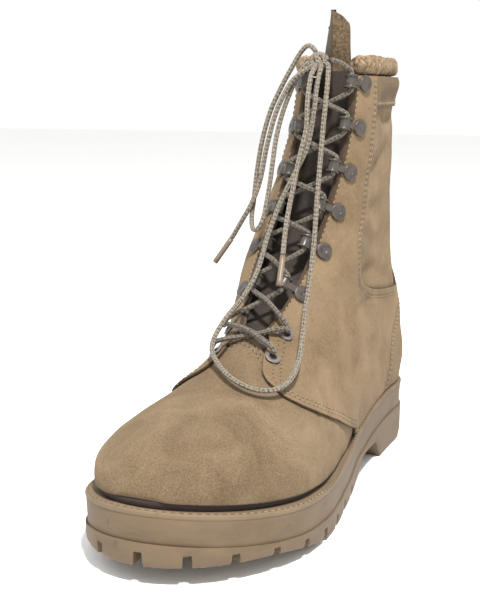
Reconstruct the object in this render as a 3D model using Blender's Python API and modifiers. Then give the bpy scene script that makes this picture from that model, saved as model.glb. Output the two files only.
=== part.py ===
"""Left suede combat boot: moulded sole, hollow lace-up upper, lace loops and laces.

Metres, +Z up. The toe points along -Y and the wearer's left side is +X.
The origin is on the floor under the middle of the heel's flat.
In the functions, s is the distance forward of the heel's back and z the height.
"""
import bisect
import math
import bpy
import bmesh
import numpy as np
from mathutils import Matrix, Vector

# Sole sizes
SOLE_LENGTH = 0.345
BALL_WIDTH = 0.122
HEEL_WIDTH = 0.087
HEEL_HEIGHT = 0.042
FORE_HEIGHT = 0.0295
TOE_SPRING = 0.011
TREAD_SPRING = 0.0105
HEEL_REST = 0.040
HEEL_LENGTH = 0.092
ARCH_END = 0.140
ARCH_RISE = 0.013
HEEL_TREAD = 0.024
FORE_TREAD = 0.012
WELT_THICK = 0.0032
SOLE_STEP = 0.0010
RAND_TOE = 0.0036
RAND_BACK = 0.0010
RAND_INSET = 0.0026
LEDGE = 0.0036
LUG_PITCH = 0.0255
LUG_GAP = 0.0070
LUG_SHARE = 0.62
LUG_REACH = 0.014
GROOVE_WIDTH = 0.005
INSOLE_THICK = 0.004
INSOLE_CLEAR = 0.0052

# Upper sizes
SHAFT_HEIGHT = 0.254
SHAFT_WIDTH = 0.076
WALL = 0.0022
LAYER = 0.0016
GAP = 0.0003
LAYER_GAP = 0.00055
BULGE = 0.0022
SHAFT_LEAN = 0.012
SHAFT_TWIST = 0.11
THROAT_HALF = 0.0165
BAND_HEIGHT = 0.019
BAND_THICK = 0.0026
ROLL_HEIGHT = 0.0118
ROLL_THICK = 0.0098
TONGUE_TIP = 0.2945
TONGUE_HALF = 0.030
TONGUE_THICK = 0.0032
TONGUE_CREASE = 0.58
TONGUE_MIDDLE = 0.0200

# Lacing sizes
LACE = 0.0030
SPOOL_LENGTH = 0.0078
SPOOL_RADIUS = 0.0042
BARREL_RADIUS = 0.0031
BORE_RADIUS = 0.0023
STUD_RADIUS = 0.0055
STUD_THICK = 0.0014
STUD_TO_SPOOL = 0.0128
STUD_BACK = 0.0082
SPOOL_DROP = 0.0010
EYELET_RADIUS = 0.0046
EYELET_BORE = 0.0025
EYELET_THICK = 0.0009
EYELET_OUT = 0.0290

# Grid of the upper: columns on each side, those inside the throat, and rows
SIDE_COLUMNS = 18
THROAT_COLUMNS = 2
ROWS = 20
THROAT_ROW = 11
SOLE_STEPS = 42

# Plan outline: station along the sole, half width as a share of the local width,
# and the middle's shift to the lateral side as a share of the ball width
PLAN = (
    # station  half    shift
    (0.00, 0.497, 0.000),
    (0.16, 0.497, 0.002),
    (0.25, 0.500, 0.008),
    (0.35, 0.458, 0.020),
    (0.45, 0.405, 0.036),
    (0.55, 0.412, 0.040),
    (0.65, 0.462, 0.028),
    (0.73, 0.492, 0.014),
    (0.80, 0.495, 0.000),
    (0.88, 0.495, -0.024),
    (0.95, 0.495, -0.050),
    (1.00, 0.495, -0.070),
)
HEEL_ROUND = 0.128
TOE_ROUND = 0.225

# Back line of the upper: height as a share of the shaft, station as a share of the sole
BACK = (
    (0.161, 0.018),
    (0.202, 0.012),
    (0.263, 0.008),
    (0.333, 0.012),
    (0.414, 0.028),
    (0.505, 0.050),
    (0.600, 0.060),
    (0.730, 0.058),
    (0.866, 0.052),
    (1.000, 0.048),
)

# Front line of the upper, from the toe over the vamp and up the shaft, in the same shares
FRONT = (
    (0.151, 0.972),
    (0.179, 0.979),
    (0.214, 0.971),
    (0.248, 0.945),
    (0.277, 0.900),
    (0.299, 0.840),
    (0.321, 0.775),
    (0.349, 0.712),
    (0.386, 0.652),
    (0.435, 0.594),
    (0.495, 0.542),
    (0.562, 0.500),
    (0.640, 0.468),
    (0.730, 0.446),
    (0.830, 0.430),
    (0.920, 0.420),
    (1.000, 0.414),
)

# Half width of the shaft: height as a share of the shaft, share of the shaft width
SHAFT = (
    (0.161, 0.500),
    (0.303, 0.500),
    (0.424, 0.485),
    (0.555, 0.452),
    (0.750, 0.380),
    (0.900, 0.336),
    (1.000, 0.322),
)

# Front edge of the quarter, from the throat to the sole: station and height shares
QUARTER_EDGE = (
    (0.600, 0.460),
    (0.606, 0.425),
    (0.615, 0.405),
    (0.630, 0.390),
    (0.647, 0.378),
    (0.672, 0.360),
    (0.695, 0.343),
    (0.707, 0.327),
    (0.709, 0.308),
    (0.693, 0.285),
    (0.630, 0.241),
    (0.526, 0.184),
    (0.455, 0.150),
    (0.420, 0.090),
)

# Rear edge of the eyestay and top edge of the quarter, down from the collar to the heel
EYESTAY_EDGE = (
    (0.322, 1.050),
    (0.326, 0.920),
    (0.336, 0.800),
    (0.352, 0.690),
    (0.368, 0.600),
    (0.366, 0.530),
    (0.330, 0.480),
    (0.250, 0.452),
    (0.160, 0.440),
    (0.060, 0.436),
)

# Front edge of the counter and its backstay, from the sole to the collar
COUNTER_EDGE = (
    (0.235, 0.100),
    (0.225, 0.200),
    (0.190, 0.290),
    (0.135, 0.360),
    (0.092, 0.430),
    (0.082, 0.560),
    (0.078, 0.750),
    (0.066, 0.930),
)

# Heights of the lace loops and of the eyelets on the facing, as shares of the shaft
LOOP_HEIGHTS = (0.488, 0.584, 0.676, 0.771, 0.876, 0.981)
EYELET_HEIGHTS = (0.366, 0.407)


# The knot's middle, and the routes of the free laces, point by point in millimetres,
# for a shaft of this height
ROUTE_SHAFT = 254.0
KNOT = (16, -108, 263)
LOW_BOW = (
    (19.0, -112.6, 258.9), (18.6, -115.4, 253), (18, -118, 243), (18, -119.5, 236), (15, -122, 213),
    (9, -126, 197), (2, -131, 180), (-3, -139, 160), (-5, -151, 139), (-8, -163, 126), (-14, -176, 114),
    (-17, -186, 104), (-14, -196, 98), (-6, -206, 94), (5, -216, 90), (16, -221, 87), (26, -219, 84.5),
    (33, -210, 84.5), (35.5, -197, 88), (34, -182, 95), (31, -169, 106), (28.5, -158, 119),
    (27, -147, 136), (25.5, -137, 157), (24.5, -131, 177), (24, -127, 192), (24, -121, 222),
    (24.5, -118, 240), (24.3, -115, 251), (22.8, -110.7, 260),
)
LEFT_BOW = (
    (12.5, -107, 269.8), (8, -106, 272), (3, -105, 268), (-2, -105, 260), (-8, -106, 249),
    (-15, -108, 233), (-19.5, -110, 215), (-22, -112, 196), (-22.6, -115.5, 178), (-21.6, -121, 168),
    (-18, -128, 161.5), (-13.5, -131, 161.5), (-10.5, -129.5, 168), (-9.5, -126.5, 178), (-9, -122.5, 190),
    (-8.5, -119.5, 203), (-8, -115.5, 217), (-5.5, -112.5, 231), (-1.5, -111, 243), (3.5, -110.4, 254),
    (9.2, -110.4, 260.9),
)
LEFT_END = (
    (11.9, -112.1, 259.2), (7, -114, 255.6), (0, -114.5, 249), (-8, -115.5, 233), (-13.5, -117, 212),
    (-17, -118.8, 191), (-21, -122, 177), (-27.5, -123, 165), (-34.5, -122, 154),
)
LEFT_TIP = ((-34.9, -122.1, 153.3), (-45.3, -124, 138))
MIDDLE_END = (
    (15.4, -113.2, 258.9), (14.6, -118.5, 252), (15, -124, 238), (15.5, -127, 222), (12.5, -130, 205),
    (11, -134, 190), (10, -139, 176), (10.5, -146, 162), (12, -153, 150),
)
MIDDLE_TIP = ((12.2, -153.6, 149.2), (14.5, -165, 133.5))
KNOT_SIZE = (0.0120, 0.0086, 0.0104)
TIP_DIAMETER = 0.0034


def smooth(t):
    """Soft step from 0 to 1."""
    t = min(max(t, 0.0), 1.0)
    return t * t * (3.0 - 2.0 * t)


def round_end(t):
    """Quarter circle that rises from 0 at t = 0 to 1 at t = 1."""
    t = min(max(t, 0.0), 1.0)
    return math.sqrt(1.0 - (1.0 - t) ** 2)


class Curve:
    """Smooth curve through the rows of a table, without overshoot."""

    def __init__(self, positions, values):
        self.x = list(positions)
        self.y = list(values)
        step = [b - a for a, b in zip(self.x, self.x[1:])]
        rise = [(b - a) / h for a, b, h in zip(self.y, self.y[1:], step)]
        inner = [2.0 * a * b / (a + b) if a * b > 0.0 else 0.0 for a, b in zip(rise, rise[1:])]
        self.slope = [rise[0]] + inner + [rise[-1]]

    def __call__(self, x):
        x = min(max(x, self.x[0]), self.x[-1])
        i = min(max(bisect.bisect_right(self.x, x) - 1, 0), len(self.x) - 2)
        h = self.x[i + 1] - self.x[i]
        t = (x - self.x[i]) / h
        start = self.y[i] * (1.0 + 2.0 * t) * (1.0 - t) ** 2 + self.slope[i] * h * t * (1.0 - t) ** 2
        end = self.y[i + 1] * t * t * (3.0 - 2.0 * t) - self.slope[i + 1] * h * t * t * (1.0 - t)
        return start + end


def column(table, number, scale):
    """One column of a table, times the size that it is a share of."""
    return [row[number] * scale for row in table]


plan_share = Curve(column(PLAN, 0, SOLE_LENGTH), column(PLAN, 1, 1.0))
plan_shift = Curve(column(PLAN, 0, SOLE_LENGTH), column(PLAN, 2, BALL_WIDTH))
back_line = Curve(column(BACK, 0, SHAFT_HEIGHT), column(BACK, 1, SOLE_LENGTH))
front_line = Curve(column(FRONT, 0, SHAFT_HEIGHT), column(FRONT, 1, SOLE_LENGTH))
shaft_share = Curve(column(SHAFT, 0, SHAFT_HEIGHT), column(SHAFT, 1, SHAFT_WIDTH))
FRONT_HEIGHTS = np.linspace(FRONT[1][0] * SHAFT_HEIGHT, SHAFT_HEIGHT, 400)
FRONT_STATIONS = np.array([front_line(z) for z in FRONT_HEIGHTS])


def sole_blend(s):
    """1 on the heel, 0 on the forefoot."""
    return 1.0 - smooth((s / SOLE_LENGTH - 0.20) / 0.33)


def spring(s):
    """Rise of the sole towards the toe."""
    return TOE_SPRING * max(0.0, (s / SOLE_LENGTH - 0.64) / 0.36) ** 2


def sole_half(s):
    """Half width of the sole's edge, without its round ends."""
    local = HEEL_WIDTH + (BALL_WIDTH - HEEL_WIDTH) * smooth((s / SOLE_LENGTH - 0.25) / 0.35)
    return plan_share(s) * local


def sole_top(s):
    """Height of the welt's upper face."""
    return FORE_HEIGHT + (HEEL_HEIGHT - FORE_HEIGHT) * sole_blend(s) + spring(s)


def tread_top(s):
    """Height of the line between the outsole and the midsole."""
    return FORE_TREAD + (HEEL_TREAD - FORE_TREAD) * sole_blend(s) + spring(s)


def tread_spring(s):
    """Rise of the tread towards the toe: it lifts over the ball and runs level under the toe."""
    return TREAD_SPRING * smooth((s / SOLE_LENGTH - 0.66) / 0.24)


def floor_line(s):
    """Underside of the outsole: heel, arch, forefoot and toe spring."""
    rise = smooth((s - HEEL_LENGTH) / 0.004) * (1.0 - smooth((s - ARCH_END) / 0.010))
    return ARCH_RISE * rise + tread_spring(s)


def lug_depth(s):
    """Depth of the notches between the lugs."""
    return LUG_SHARE * (tread_top(s) - tread_spring(s))


def rand_top(s):
    """Height of the dark strip between the welt and the upper."""
    return sole_top(s) + RAND_BACK + (RAND_TOE - RAND_BACK) * smooth((s / SOLE_LENGTH - 0.42) / 0.40)


def feather(s):
    """Height of the upper's lower edge."""
    return rand_top(s) + GAP


def vamp_top(s):
    """Height of the upper's front line over a station, far above where the shaft stands."""
    if s <= FRONT_STATIONS[-1]:
        return 10.0
    return float(np.interp(-s, -FRONT_STATIONS, FRONT_HEIGHTS))


def upper_half(s, z):
    """Half width of the upper's outer face at a station and a height."""
    foot = sole_half(s) * round_end((SOLE_LENGTH - LEDGE - s) / (TOE_ROUND * SOLE_LENGTH)) - LEDGE
    share = z / SHAFT_HEIGHT
    lift = (z - feather(s)) / (0.16 * SHAFT_HEIGHT)
    foot += BULGE * math.sin(math.pi * min(max(lift, 0.0), 1.0))
    mix = smooth((share - 0.20) / 0.26)
    width = foot * (1.0 - mix) + shaft_share(z) * mix
    back_round = (0.120 - 0.020 * mix) * SOLE_LENGTH
    width *= round_end((s - back_line(z)) / back_round)
    q = (z - feather(s)) / (vamp_top(s) - feather(s))
    q = min(max(q, 0.0), 1.0)
    power = 2.3 - 0.5 * smooth((0.80 - s / SOLE_LENGTH) / 0.25)
    over_vamp = (1.0 - q ** power) ** (1.0 / power)
    over_shin = round_end((front_line(z) - s) / (0.115 * SOLE_LENGTH))
    leg = smooth((share - 0.36) / 0.26)
    return max(width, 0.0) * (over_vamp * (1.0 - leg) + over_shin * leg)


def upper_middle(s, z):
    """Sideways shift of the upper's middle at a station and a height."""
    share = z / SHAFT_HEIGHT
    mix = smooth((share - 0.20) / 0.30)
    up = smooth((share - 0.42) / 0.58)
    return plan_shift(s) * (1.0 - mix) + up * (SHAFT_LEAN + SHAFT_TWIST * (s - 0.22 * SOLE_LENGTH))


def world(x, s, z):
    """Point in the object's frame."""
    return Vector((x, HEEL_REST - s, z))


def arc_table(line, low, high):
    """Heights along a side-view line and the distance run to each."""
    heights = np.linspace(low, high, 300)
    stations = np.array([line(z) for z in heights])
    run = np.concatenate([[0.0], np.cumsum(np.hypot(np.diff(heights), np.diff(stations)))])
    return heights, run / run[-1]


TOE_FOOT = FRONT[0][1] * SOLE_LENGTH
HEEL_FOOT = BACK[0][1] * SOLE_LENGTH
BACK_HEIGHTS, BACK_RUN = arc_table(back_line, feather(HEEL_FOOT), SHAFT_HEIGHT)
FRONT_ARC_HEIGHTS, FRONT_RUN = arc_table(front_line, feather(TOE_FOOT), SHAFT_HEIGHT)


def row_ends(v):
    """Back and front ends, in side view, of the row at share v from the sole to the collar."""
    back_z = float(np.interp(v, BACK_RUN, BACK_HEIGHTS))
    front_z = float(np.interp(v ** 1.3, FRONT_RUN, FRONT_ARC_HEIGHTS))
    return (back_line(back_z), back_z), (front_line(front_z), front_z)


ROW_CACHE = {}


def row(v):
    """Points of the row at share v on each side, from the front middle to the back middle."""
    if v in ROW_CACHE:
        return ROW_CACHE[v]
    (back_s, back_z), (front_s, front_z) = row_ends(v)
    (foot_s, foot_z), (toe_s, toe_z) = row_ends(0.0)
    sag = max(0.0, 1.0 - v / 0.30) ** 2
    sides = {}
    for side in (1, -1):
        points = []
        for k in range(181):
            t = 0.5 - 0.5 * math.cos(math.pi * k / 180)
            s = front_s + (back_s - front_s) * t
            z = front_z + (back_z - front_z) * t
            straight = foot_z + (toe_z - foot_z) * (s - foot_s) / (toe_s - foot_s)
            z += sag * (feather(s) - straight)
            inner = 0.0 if k in (0, 180) else upper_half(s, z)
            points.append(world(upper_middle(s, z) + side * inner, s, z))
        run = [0.0]
        for a, b in zip(points, points[1:]):
            run.append(run[-1] + (b - a).length)
        sides[side] = (np.array(points), np.array(run))
    ROW_CACHE[v] = sides
    return sides


def on_row(v, distance):
    """Point of a row at a distance round from its front middle, plus for the lateral side."""
    points, run = row(v)[1 if distance >= 0.0 else -1]
    away = abs(distance)
    return Vector([float(np.interp(away, run, points[:, axis])) for axis in range(3)])


def throat_half(v):
    """Half width of the throat's opening, round the row."""
    open_share = (v - THROAT_ROW / ROWS) * ROWS
    return THROAT_HALF * (0.36 + 0.64 * round_end((open_share + 0.1) / 3.2))


def surface(v, distance, lift=0.0):
    """Point on the upper's outer face, lifted along its normal, with the local frame."""
    small = 0.0015
    low = max(v - 0.004, 0.0)
    high = min(v + 0.004, 1.0)
    point = on_row(v, distance)
    along = on_row(v, distance + small) - on_row(v, distance - small)
    up = (on_row(high, distance) - on_row(low, distance)).normalized()
    normal = along.cross(up).normalized()
    return point + normal * lift, normal, up


def row_at(height, distance):
    """Row share at which a line up the upper reaches a height. The distance is a function of the row."""
    low, high = 0.2, 1.0
    for _ in range(30):
        v = (low + high) / 2
        if on_row(v, distance(v)).z < height:
            low = v
        else:
            high = v
    return (low + high) / 2


def grid(lift):
    """Rows of points round the upper, lifted off its outer face."""
    sheet = []
    for i in range(ROWS + 1):
        v = i / ROWS
        half = throat_half(v)
        points = []
        for j in range(2 * SIDE_COLUMNS):
            side = 1 if j < SIDE_COLUMNS else -1
            total = row(v)[side][1][-1]
            number = j if side > 0 else 2 * SIDE_COLUMNS - j
            if number <= THROAT_COLUMNS:
                away = half * number / THROAT_COLUMNS
            else:
                part = (number - THROAT_COLUMNS) / (SIDE_COLUMNS - THROAT_COLUMNS)
                away = half + (total - half) * part
            points.append(on_row(v, side * max(away, 1e-9)))
        sheet.append(points)
    count = 2 * SIDE_COLUMNS
    lifted = []
    for i, points in enumerate(sheet):
        below = sheet[max(i - 1, 0)]
        above = sheet[min(i + 1, ROWS)]
        line = []
        for j, point in enumerate(points):
            along = points[(j + 1) % count] - points[j - 1]
            normal = along.cross(above[j] - below[j]).normalized()
            line.append(point + normal * lift)
        lifted.append(line)
    return lifted


collection = bpy.data.collections.new("combat_boot")
cutters = bpy.data.collections.new("cutters")


def clear_scene():
    for item in list(bpy.data.objects):
        bpy.data.objects.remove(item, do_unlink=True)
    for group in (collection, cutters):
        bpy.context.scene.collection.children.link(group)


def material(name, colour, roughness, metallic=0.0):
    """Plain material with a colour, a roughness and a metallic value."""
    made = bpy.data.materials.new(name)
    made.use_nodes = True
    shader = made.node_tree.nodes["Principled BSDF"]
    shader.inputs["Base Color"].default_value = (*colour, 1.0)
    shader.inputs["Roughness"].default_value = roughness
    shader.inputs["Metallic"].default_value = metallic
    return made


def place(name, mesh, look, group=None):
    """Object of a mesh, in the boot's collection."""
    item = bpy.data.objects.new(name, mesh)
    if look is not None:
        mesh.materials.append(look)
    (group or collection).objects.link(item)
    return item


def mesh_of(name, points, faces):
    mesh = bpy.data.meshes.new(name)
    mesh.from_pydata([tuple(p) for p in points], [], faces)
    mesh.update()
    return mesh


def face_out(mesh):
    """Turn all faces of a closed mesh outwards."""
    work = bmesh.new()
    work.from_mesh(mesh)
    bmesh.ops.recalc_face_normals(work, faces=work.faces[:])
    work.to_mesh(mesh)
    work.free()


def shade_soft(item, angle=50):
    item.data.shade_smooth()
    item.data.set_sharp_from_angle(angle=math.radians(angle))


def boolean(item, cutter, operation):
    """Boolean modifier with the exact solver."""
    step = item.modifiers.new(operation.title(), 'BOOLEAN')
    step.operation = operation
    step.object = cutter
    step.solver = 'EXACT'


def hide_cutter(item):
    item.hide_render = True
    item.display_type = 'WIRE'


def sheet_mesh(name, lift, columns):
    """Open sheet over some columns of the upper, with the throat left open."""
    rows = grid(lift)
    count = 2 * SIDE_COLUMNS
    points = [p for line in rows for p in line]
    faces = []
    for i in range(ROWS):
        for j in columns:
            in_throat = j < THROAT_COLUMNS or j >= count - THROAT_COLUMNS
            if i >= THROAT_ROW and in_throat:
                continue
            a = i * count + j
            b = i * count + (j + 1) % count
            if j < SIDE_COLUMNS:
                faces += [(a, b, b + count), (a, b + count, a + count)]
            else:
                faces += [(a, b, a + count), (b, b + count, a + count)]
    mesh = mesh_of(name, points, faces)
    work = bmesh.new()
    work.from_mesh(mesh)
    loose = [p for p in work.verts if not p.link_faces]
    bmesh.ops.delete(work, geom=loose, context='VERTS')
    work.to_mesh(mesh)
    work.free()
    return mesh


LATERAL = range(SIDE_COLUMNS)
MEDIAL = range(SIDE_COLUMNS, 2 * SIDE_COLUMNS)
ALL_ROUND = range(2 * SIDE_COLUMNS)


def shell(name, lift, thickness, look, columns=ALL_ROUND):
    """Walled sheet of the upper: a plus thickness grows outwards."""
    item = place(name, sheet_mesh(name, lift, columns), look)
    step = item.modifiers.new("Wall", 'SOLIDIFY')
    step.thickness = abs(thickness)
    step.offset = 1.0 if thickness > 0 else -1.0
    step.use_even_offset = True
    return item


def fine_edge(table, steps=4):
    """Smooth side-view line through a table's stations and heights."""
    stations = Curve(range(len(table)), column(table, 0, SOLE_LENGTH))
    heights = Curve(range(len(table)), column(table, 1, SHAFT_HEIGHT))
    count = (len(table) - 1) * steps
    return [(stations(k / steps), heights(k / steps)) for k in range(count + 1)]


def side_prism(name, outline):
    """Cutter that runs sideways through the whole boot on a closed side-view outline."""
    count = len(outline)
    points = [world(-BALL_WIDTH, s, z) for s, z in outline] + [world(BALL_WIDTH, s, z) for s, z in outline]
    faces = [tuple(range(count)), tuple(range(2 * count - 1, count - 1, -1))]
    for k in range(count):
        n = (k + 1) % count
        faces.append((k, k + count, n + count, n))
    mesh = mesh_of(name, points, faces)
    face_out(mesh)
    item = place(name, mesh, None, cutters)
    hide_cutter(item)
    return item


def sole_edge(inset):
    """Stations and half widths round the sole, closed at both ends."""
    length = SOLE_LENGTH - 2.0 * inset
    rows = []
    for k in range(SOLE_STEPS + 1):
        t = 0.5 - 0.5 * math.cos(math.pi * k / SOLE_STEPS)
        s = inset + length * t
        half = sole_half(s) - inset
        half *= round_end((s - inset) / (HEEL_ROUND * SOLE_LENGTH))
        half *= round_end((SOLE_LENGTH - inset - s) / (TOE_ROUND * SOLE_LENGTH))
        rows.append((s, max(half, 0.0)))
    return rows


def slab(name, levels, look):
    """Plate of the sole between levels, each with its inset and its height over the station."""
    points = []
    rings = []
    for inset, height in levels:
        edge = sole_edge(inset)
        ring = [(plan_shift(s) + half, s, height(s)) for s, half in edge]
        ring += [(plan_shift(s) - half, s, height(s)) for s, half in reversed(edge[1:-1])]
        rings.append(len(points))
        points += [world(*p) for p in ring]
    count = len(points) // len(levels)
    faces = []
    for low, high in zip(rings, rings[1:]):
        for k in range(count):
            n = (k + 1) % count
            faces.append((low + k, low + n, high + n, high + k))
    half_count = count // 2
    for base in (rings[0], rings[-1]):
        faces.append((base, base + 1, base + count - 1))
        for k in range(1, half_count - 1):
            faces.append((base + k, base + k + 1, base + count - k - 1, base + count - k))
        faces.append((base + half_count - 1, base + half_count, base + half_count + 1))
    mesh = mesh_of(name, points, faces)
    face_out(mesh)
    item = place(name, mesh, look)
    shade_soft(item, 35)
    return item


def tapered_block(work, centre, inward, length, width, height, taper):
    """Block for cutting a notch: it narrows towards its top."""
    side = Vector((-inward.y, inward.x, 0.0))
    made = bmesh.ops.create_cube(work, size=1.0)
    for vert in made['verts']:
        top = vert.co.z > 0
        half = width * (taper if top else 1.0)
        reach = vert.co.x * length * 2.0
        level = Vector((0.0, 0.0, height if top else -0.01))
        vert.co = centre + inward * reach + side * (vert.co.y * half) + level


def edge_walk(inset, start, end):
    """Points and inward directions along the sole's edge between two stations, round the toe."""
    edge = [p for p in sole_edge(inset) if start <= p[0] <= end]
    lateral = [(plan_shift(s) + half, s) for s, half in edge]
    medial = [(plan_shift(s) - half, s) for s, half in reversed(edge)]
    loop = lateral + medial[1:]
    return [world(x, s, 0.0) for x, s in loop]


def notch_places(walk, pitch):
    """Evenly spaced places along a walk, with the direction inwards."""
    run = [0.0]
    for a, b in zip(walk, walk[1:]):
        run.append(run[-1] + (b - a).length)
    count = int(run[-1] / pitch)
    first = (run[-1] - (count - 1) * pitch) / 2
    found = []
    for k in range(count):
        at = first + k * pitch
        i = min(bisect.bisect_right(run, at) - 1, len(walk) - 2)
        t = (at - run[i]) / (run[i + 1] - run[i])
        along = (walk[i + 1] - walk[i]).normalized()
        found.append((walk[i].lerp(walk[i + 1], t), Vector((along.y, -along.x, 0.0))))
    return found


def make_outsole(look):
    item = slab("outsole", (
        (SOLE_STEP, floor_line),
        (0.0, lambda s: floor_line(s) * 0.75 + tread_top(s) * 0.25),
        (0.0, tread_top),
    ), look)
    work = bmesh.new()
    walk = edge_walk(0.0, ARCH_END + 0.012, SOLE_LENGTH)
    for centre, inward in notch_places(walk, LUG_PITCH):
        s = HEEL_REST - centre.y
        base = Vector((centre.x, centre.y, tread_spring(s)))
        tapered_block(work, base, -inward, LUG_REACH, LUG_GAP, lug_depth(s), 0.62)
    for k in range(4):
        s = ARCH_END + 0.030 + k * LUG_PITCH * 1.15
        base = world(plan_shift(s), s, tread_spring(s))
        across = Vector((1.0, 0.0, 0.0))
        tapered_block(work, base, across, BALL_WIDTH * 0.22, GROOVE_WIDTH, lug_depth(s) * 0.7, 0.7)
    mesh = bpy.data.meshes.new("tread_cutter")
    work.to_mesh(mesh)
    work.free()
    face_out(mesh)
    cutter = place("tread_cutter", mesh, None, cutters)
    hide_cutter(cutter)
    boolean(item, cutter, 'DIFFERENCE')
    return item


def make_sole(rubber, welt_look, dark):
    make_outsole(rubber)
    slab("midsole", (
        (SOLE_STEP, lambda s: tread_top(s) + GAP),
        (SOLE_STEP * 0.4, lambda s: sole_top(s) - WELT_THICK - GAP),
    ), rubber)
    slab("welt", (
        (SOLE_STEP * 0.5, lambda s: sole_top(s) - WELT_THICK),
        (0.0, lambda s: sole_top(s) - WELT_THICK * 0.75),
        (0.0, lambda s: sole_top(s) - WELT_THICK * 0.2),
        (SOLE_STEP * 0.6, sole_top),
    ), welt_look)
    inset = LEDGE + RAND_INSET
    slab("rand", (
        (inset, lambda s: sole_top(s) + GAP),
        (inset, rand_top),
    ), dark)


def make_insole(look):
    inset = LEDGE + WALL + INSOLE_CLEAR
    slab("insole", (
        (inset, lambda s: rand_top(s) + GAP),
        (inset, lambda s: rand_top(s) + GAP + INSOLE_THICK),
    ), look)


def make_upper(look):
    item = shell("upper", 0.0, -WALL, look)
    shade_soft(item)
    return item


def make_quarters(look):
    """Quarter and eyestay of each side: the layer over the vamp, the ankle and the facing."""
    front = fine_edge(QUARTER_EDGE)
    rear = fine_edge(EYESTAY_EDGE)
    counter = [(s + GAP * 2.0, z) for s, z in fine_edge(COUNTER_EDGE)]
    heel_top = rear[-1][1]
    counter_part = [p for p in counter if p[1] < heel_top - 0.004]
    ahead = [(0.80 * SOLE_LENGTH, 0.44 * SHAFT_HEIGHT), (0.80 * SOLE_LENGTH, 1.05 * SHAFT_HEIGHT)]
    rear_part = [p for p in rear if p[0] > counter_part[-1][0] + 0.004]
    outline = ahead + rear_part + list(reversed(counter_part)) + list(reversed(front))
    cutter = side_prism("quarter_cutter", outline)
    for name, columns in (("quarter_lateral", LATERAL), ("quarter_medial", MEDIAL)):
        item = shell(name, LAYER_GAP, LAYER, look, columns)
        boolean(item, cutter, 'INTERSECT')
        shade_soft(item)


def make_counter(look):
    edge = fine_edge(COUNTER_EDGE)
    top = (SHAFT_HEIGHT - BAND_HEIGHT - 2.0 * GAP)
    part = [p for p in edge if p[1] < top]
    part.append((part[-1][0], top))
    outline = part + [(-0.02, top), (-0.02, part[0][1])]
    item = shell("counter", LAYER_GAP, LAYER, look)
    boolean(item, side_prism("counter_cutter", outline), 'INTERSECT')
    shade_soft(item)


def make_band(look):
    """Padded band under the collar roll, from eyestay to eyestay round the back."""
    edge = fine_edge(EYESTAY_EDGE)
    low = SHAFT_HEIGHT - BAND_HEIGHT
    front = [(s - GAP * 2.0, z) for s, z in edge if z > low]
    top = SHAFT_HEIGHT + 0.02
    outline = front + [(front[-1][0], low), (-0.02, low), (-0.02, top)]
    outline = [(s, min(z, top)) for s, z in outline]
    item = shell("collar_band", LAYER_GAP, BAND_THICK, look)
    boolean(item, side_prism("band_cutter", outline), 'INTERSECT')
    shade_soft(item)


def make_roll(look):
    """Padded roll round the top edge, open at the throat."""
    sides = 8
    count = 36
    v = 1.0
    lengths = {side: row(v)[side][1][-1] for side in (1, -1)}
    start = throat_half(v) + 0.0035
    stops = [start + (lengths[1] - start) * k / (count // 2) for k in range(count // 2 + 1)]
    back = [start + (lengths[-1] - start) * k / (count // 2) for k in range(count // 2)]
    path = stops + [-d for d in reversed(back)]
    points = []
    for k, distance in enumerate(path):
        centre, normal, _ = surface(v, distance, -WALL / 2 - 0.0006)
        flat = Vector((normal.x, normal.y, 0.0)).normalized()
        centre = Vector((centre.x, centre.y, SHAFT_HEIGHT + GAP + ROLL_HEIGHT / 2 + 0.0004))
        end = 0.82 if k in (0, len(path) - 1) else 1.0
        for n in range(sides):
            angle = 2.0 * math.pi * n / sides
            across = flat * (math.cos(angle) * ROLL_THICK / 2 * end)
            points.append(centre + across + Vector((0, 0, math.sin(angle) * ROLL_HEIGHT / 2 * end)))
    faces = [tuple(range(sides)), tuple(range(len(points) - 1, len(points) - sides - 1, -1))]
    for k in range(len(path) - 1):
        for n in range(sides):
            m = (n + 1) % sides
            faces.append((k * sides + n, k * sides + m, (k + 1) * sides + m, (k + 1) * sides + n))
    mesh = mesh_of("collar_roll", points, faces)
    face_out(mesh)
    shade_soft(place("collar_roll", mesh, look))


def tongue_fold(reach, rise):
    """Section of the tongue above the collar at a share of its width: folded along a crease."""
    if reach < TONGUE_CREASE:
        away = (reach - TONGUE_CREASE) * TONGUE_HALF
        turn = math.radians(58.0 + 14.0 * rise)
        return Vector((math.cos(turn) * away, -math.sin(turn) * away, 0.0))
    away = (reach - TONGUE_CREASE) * TONGUE_HALF
    return Vector((away, 0.10 * away, 0.0))


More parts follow.
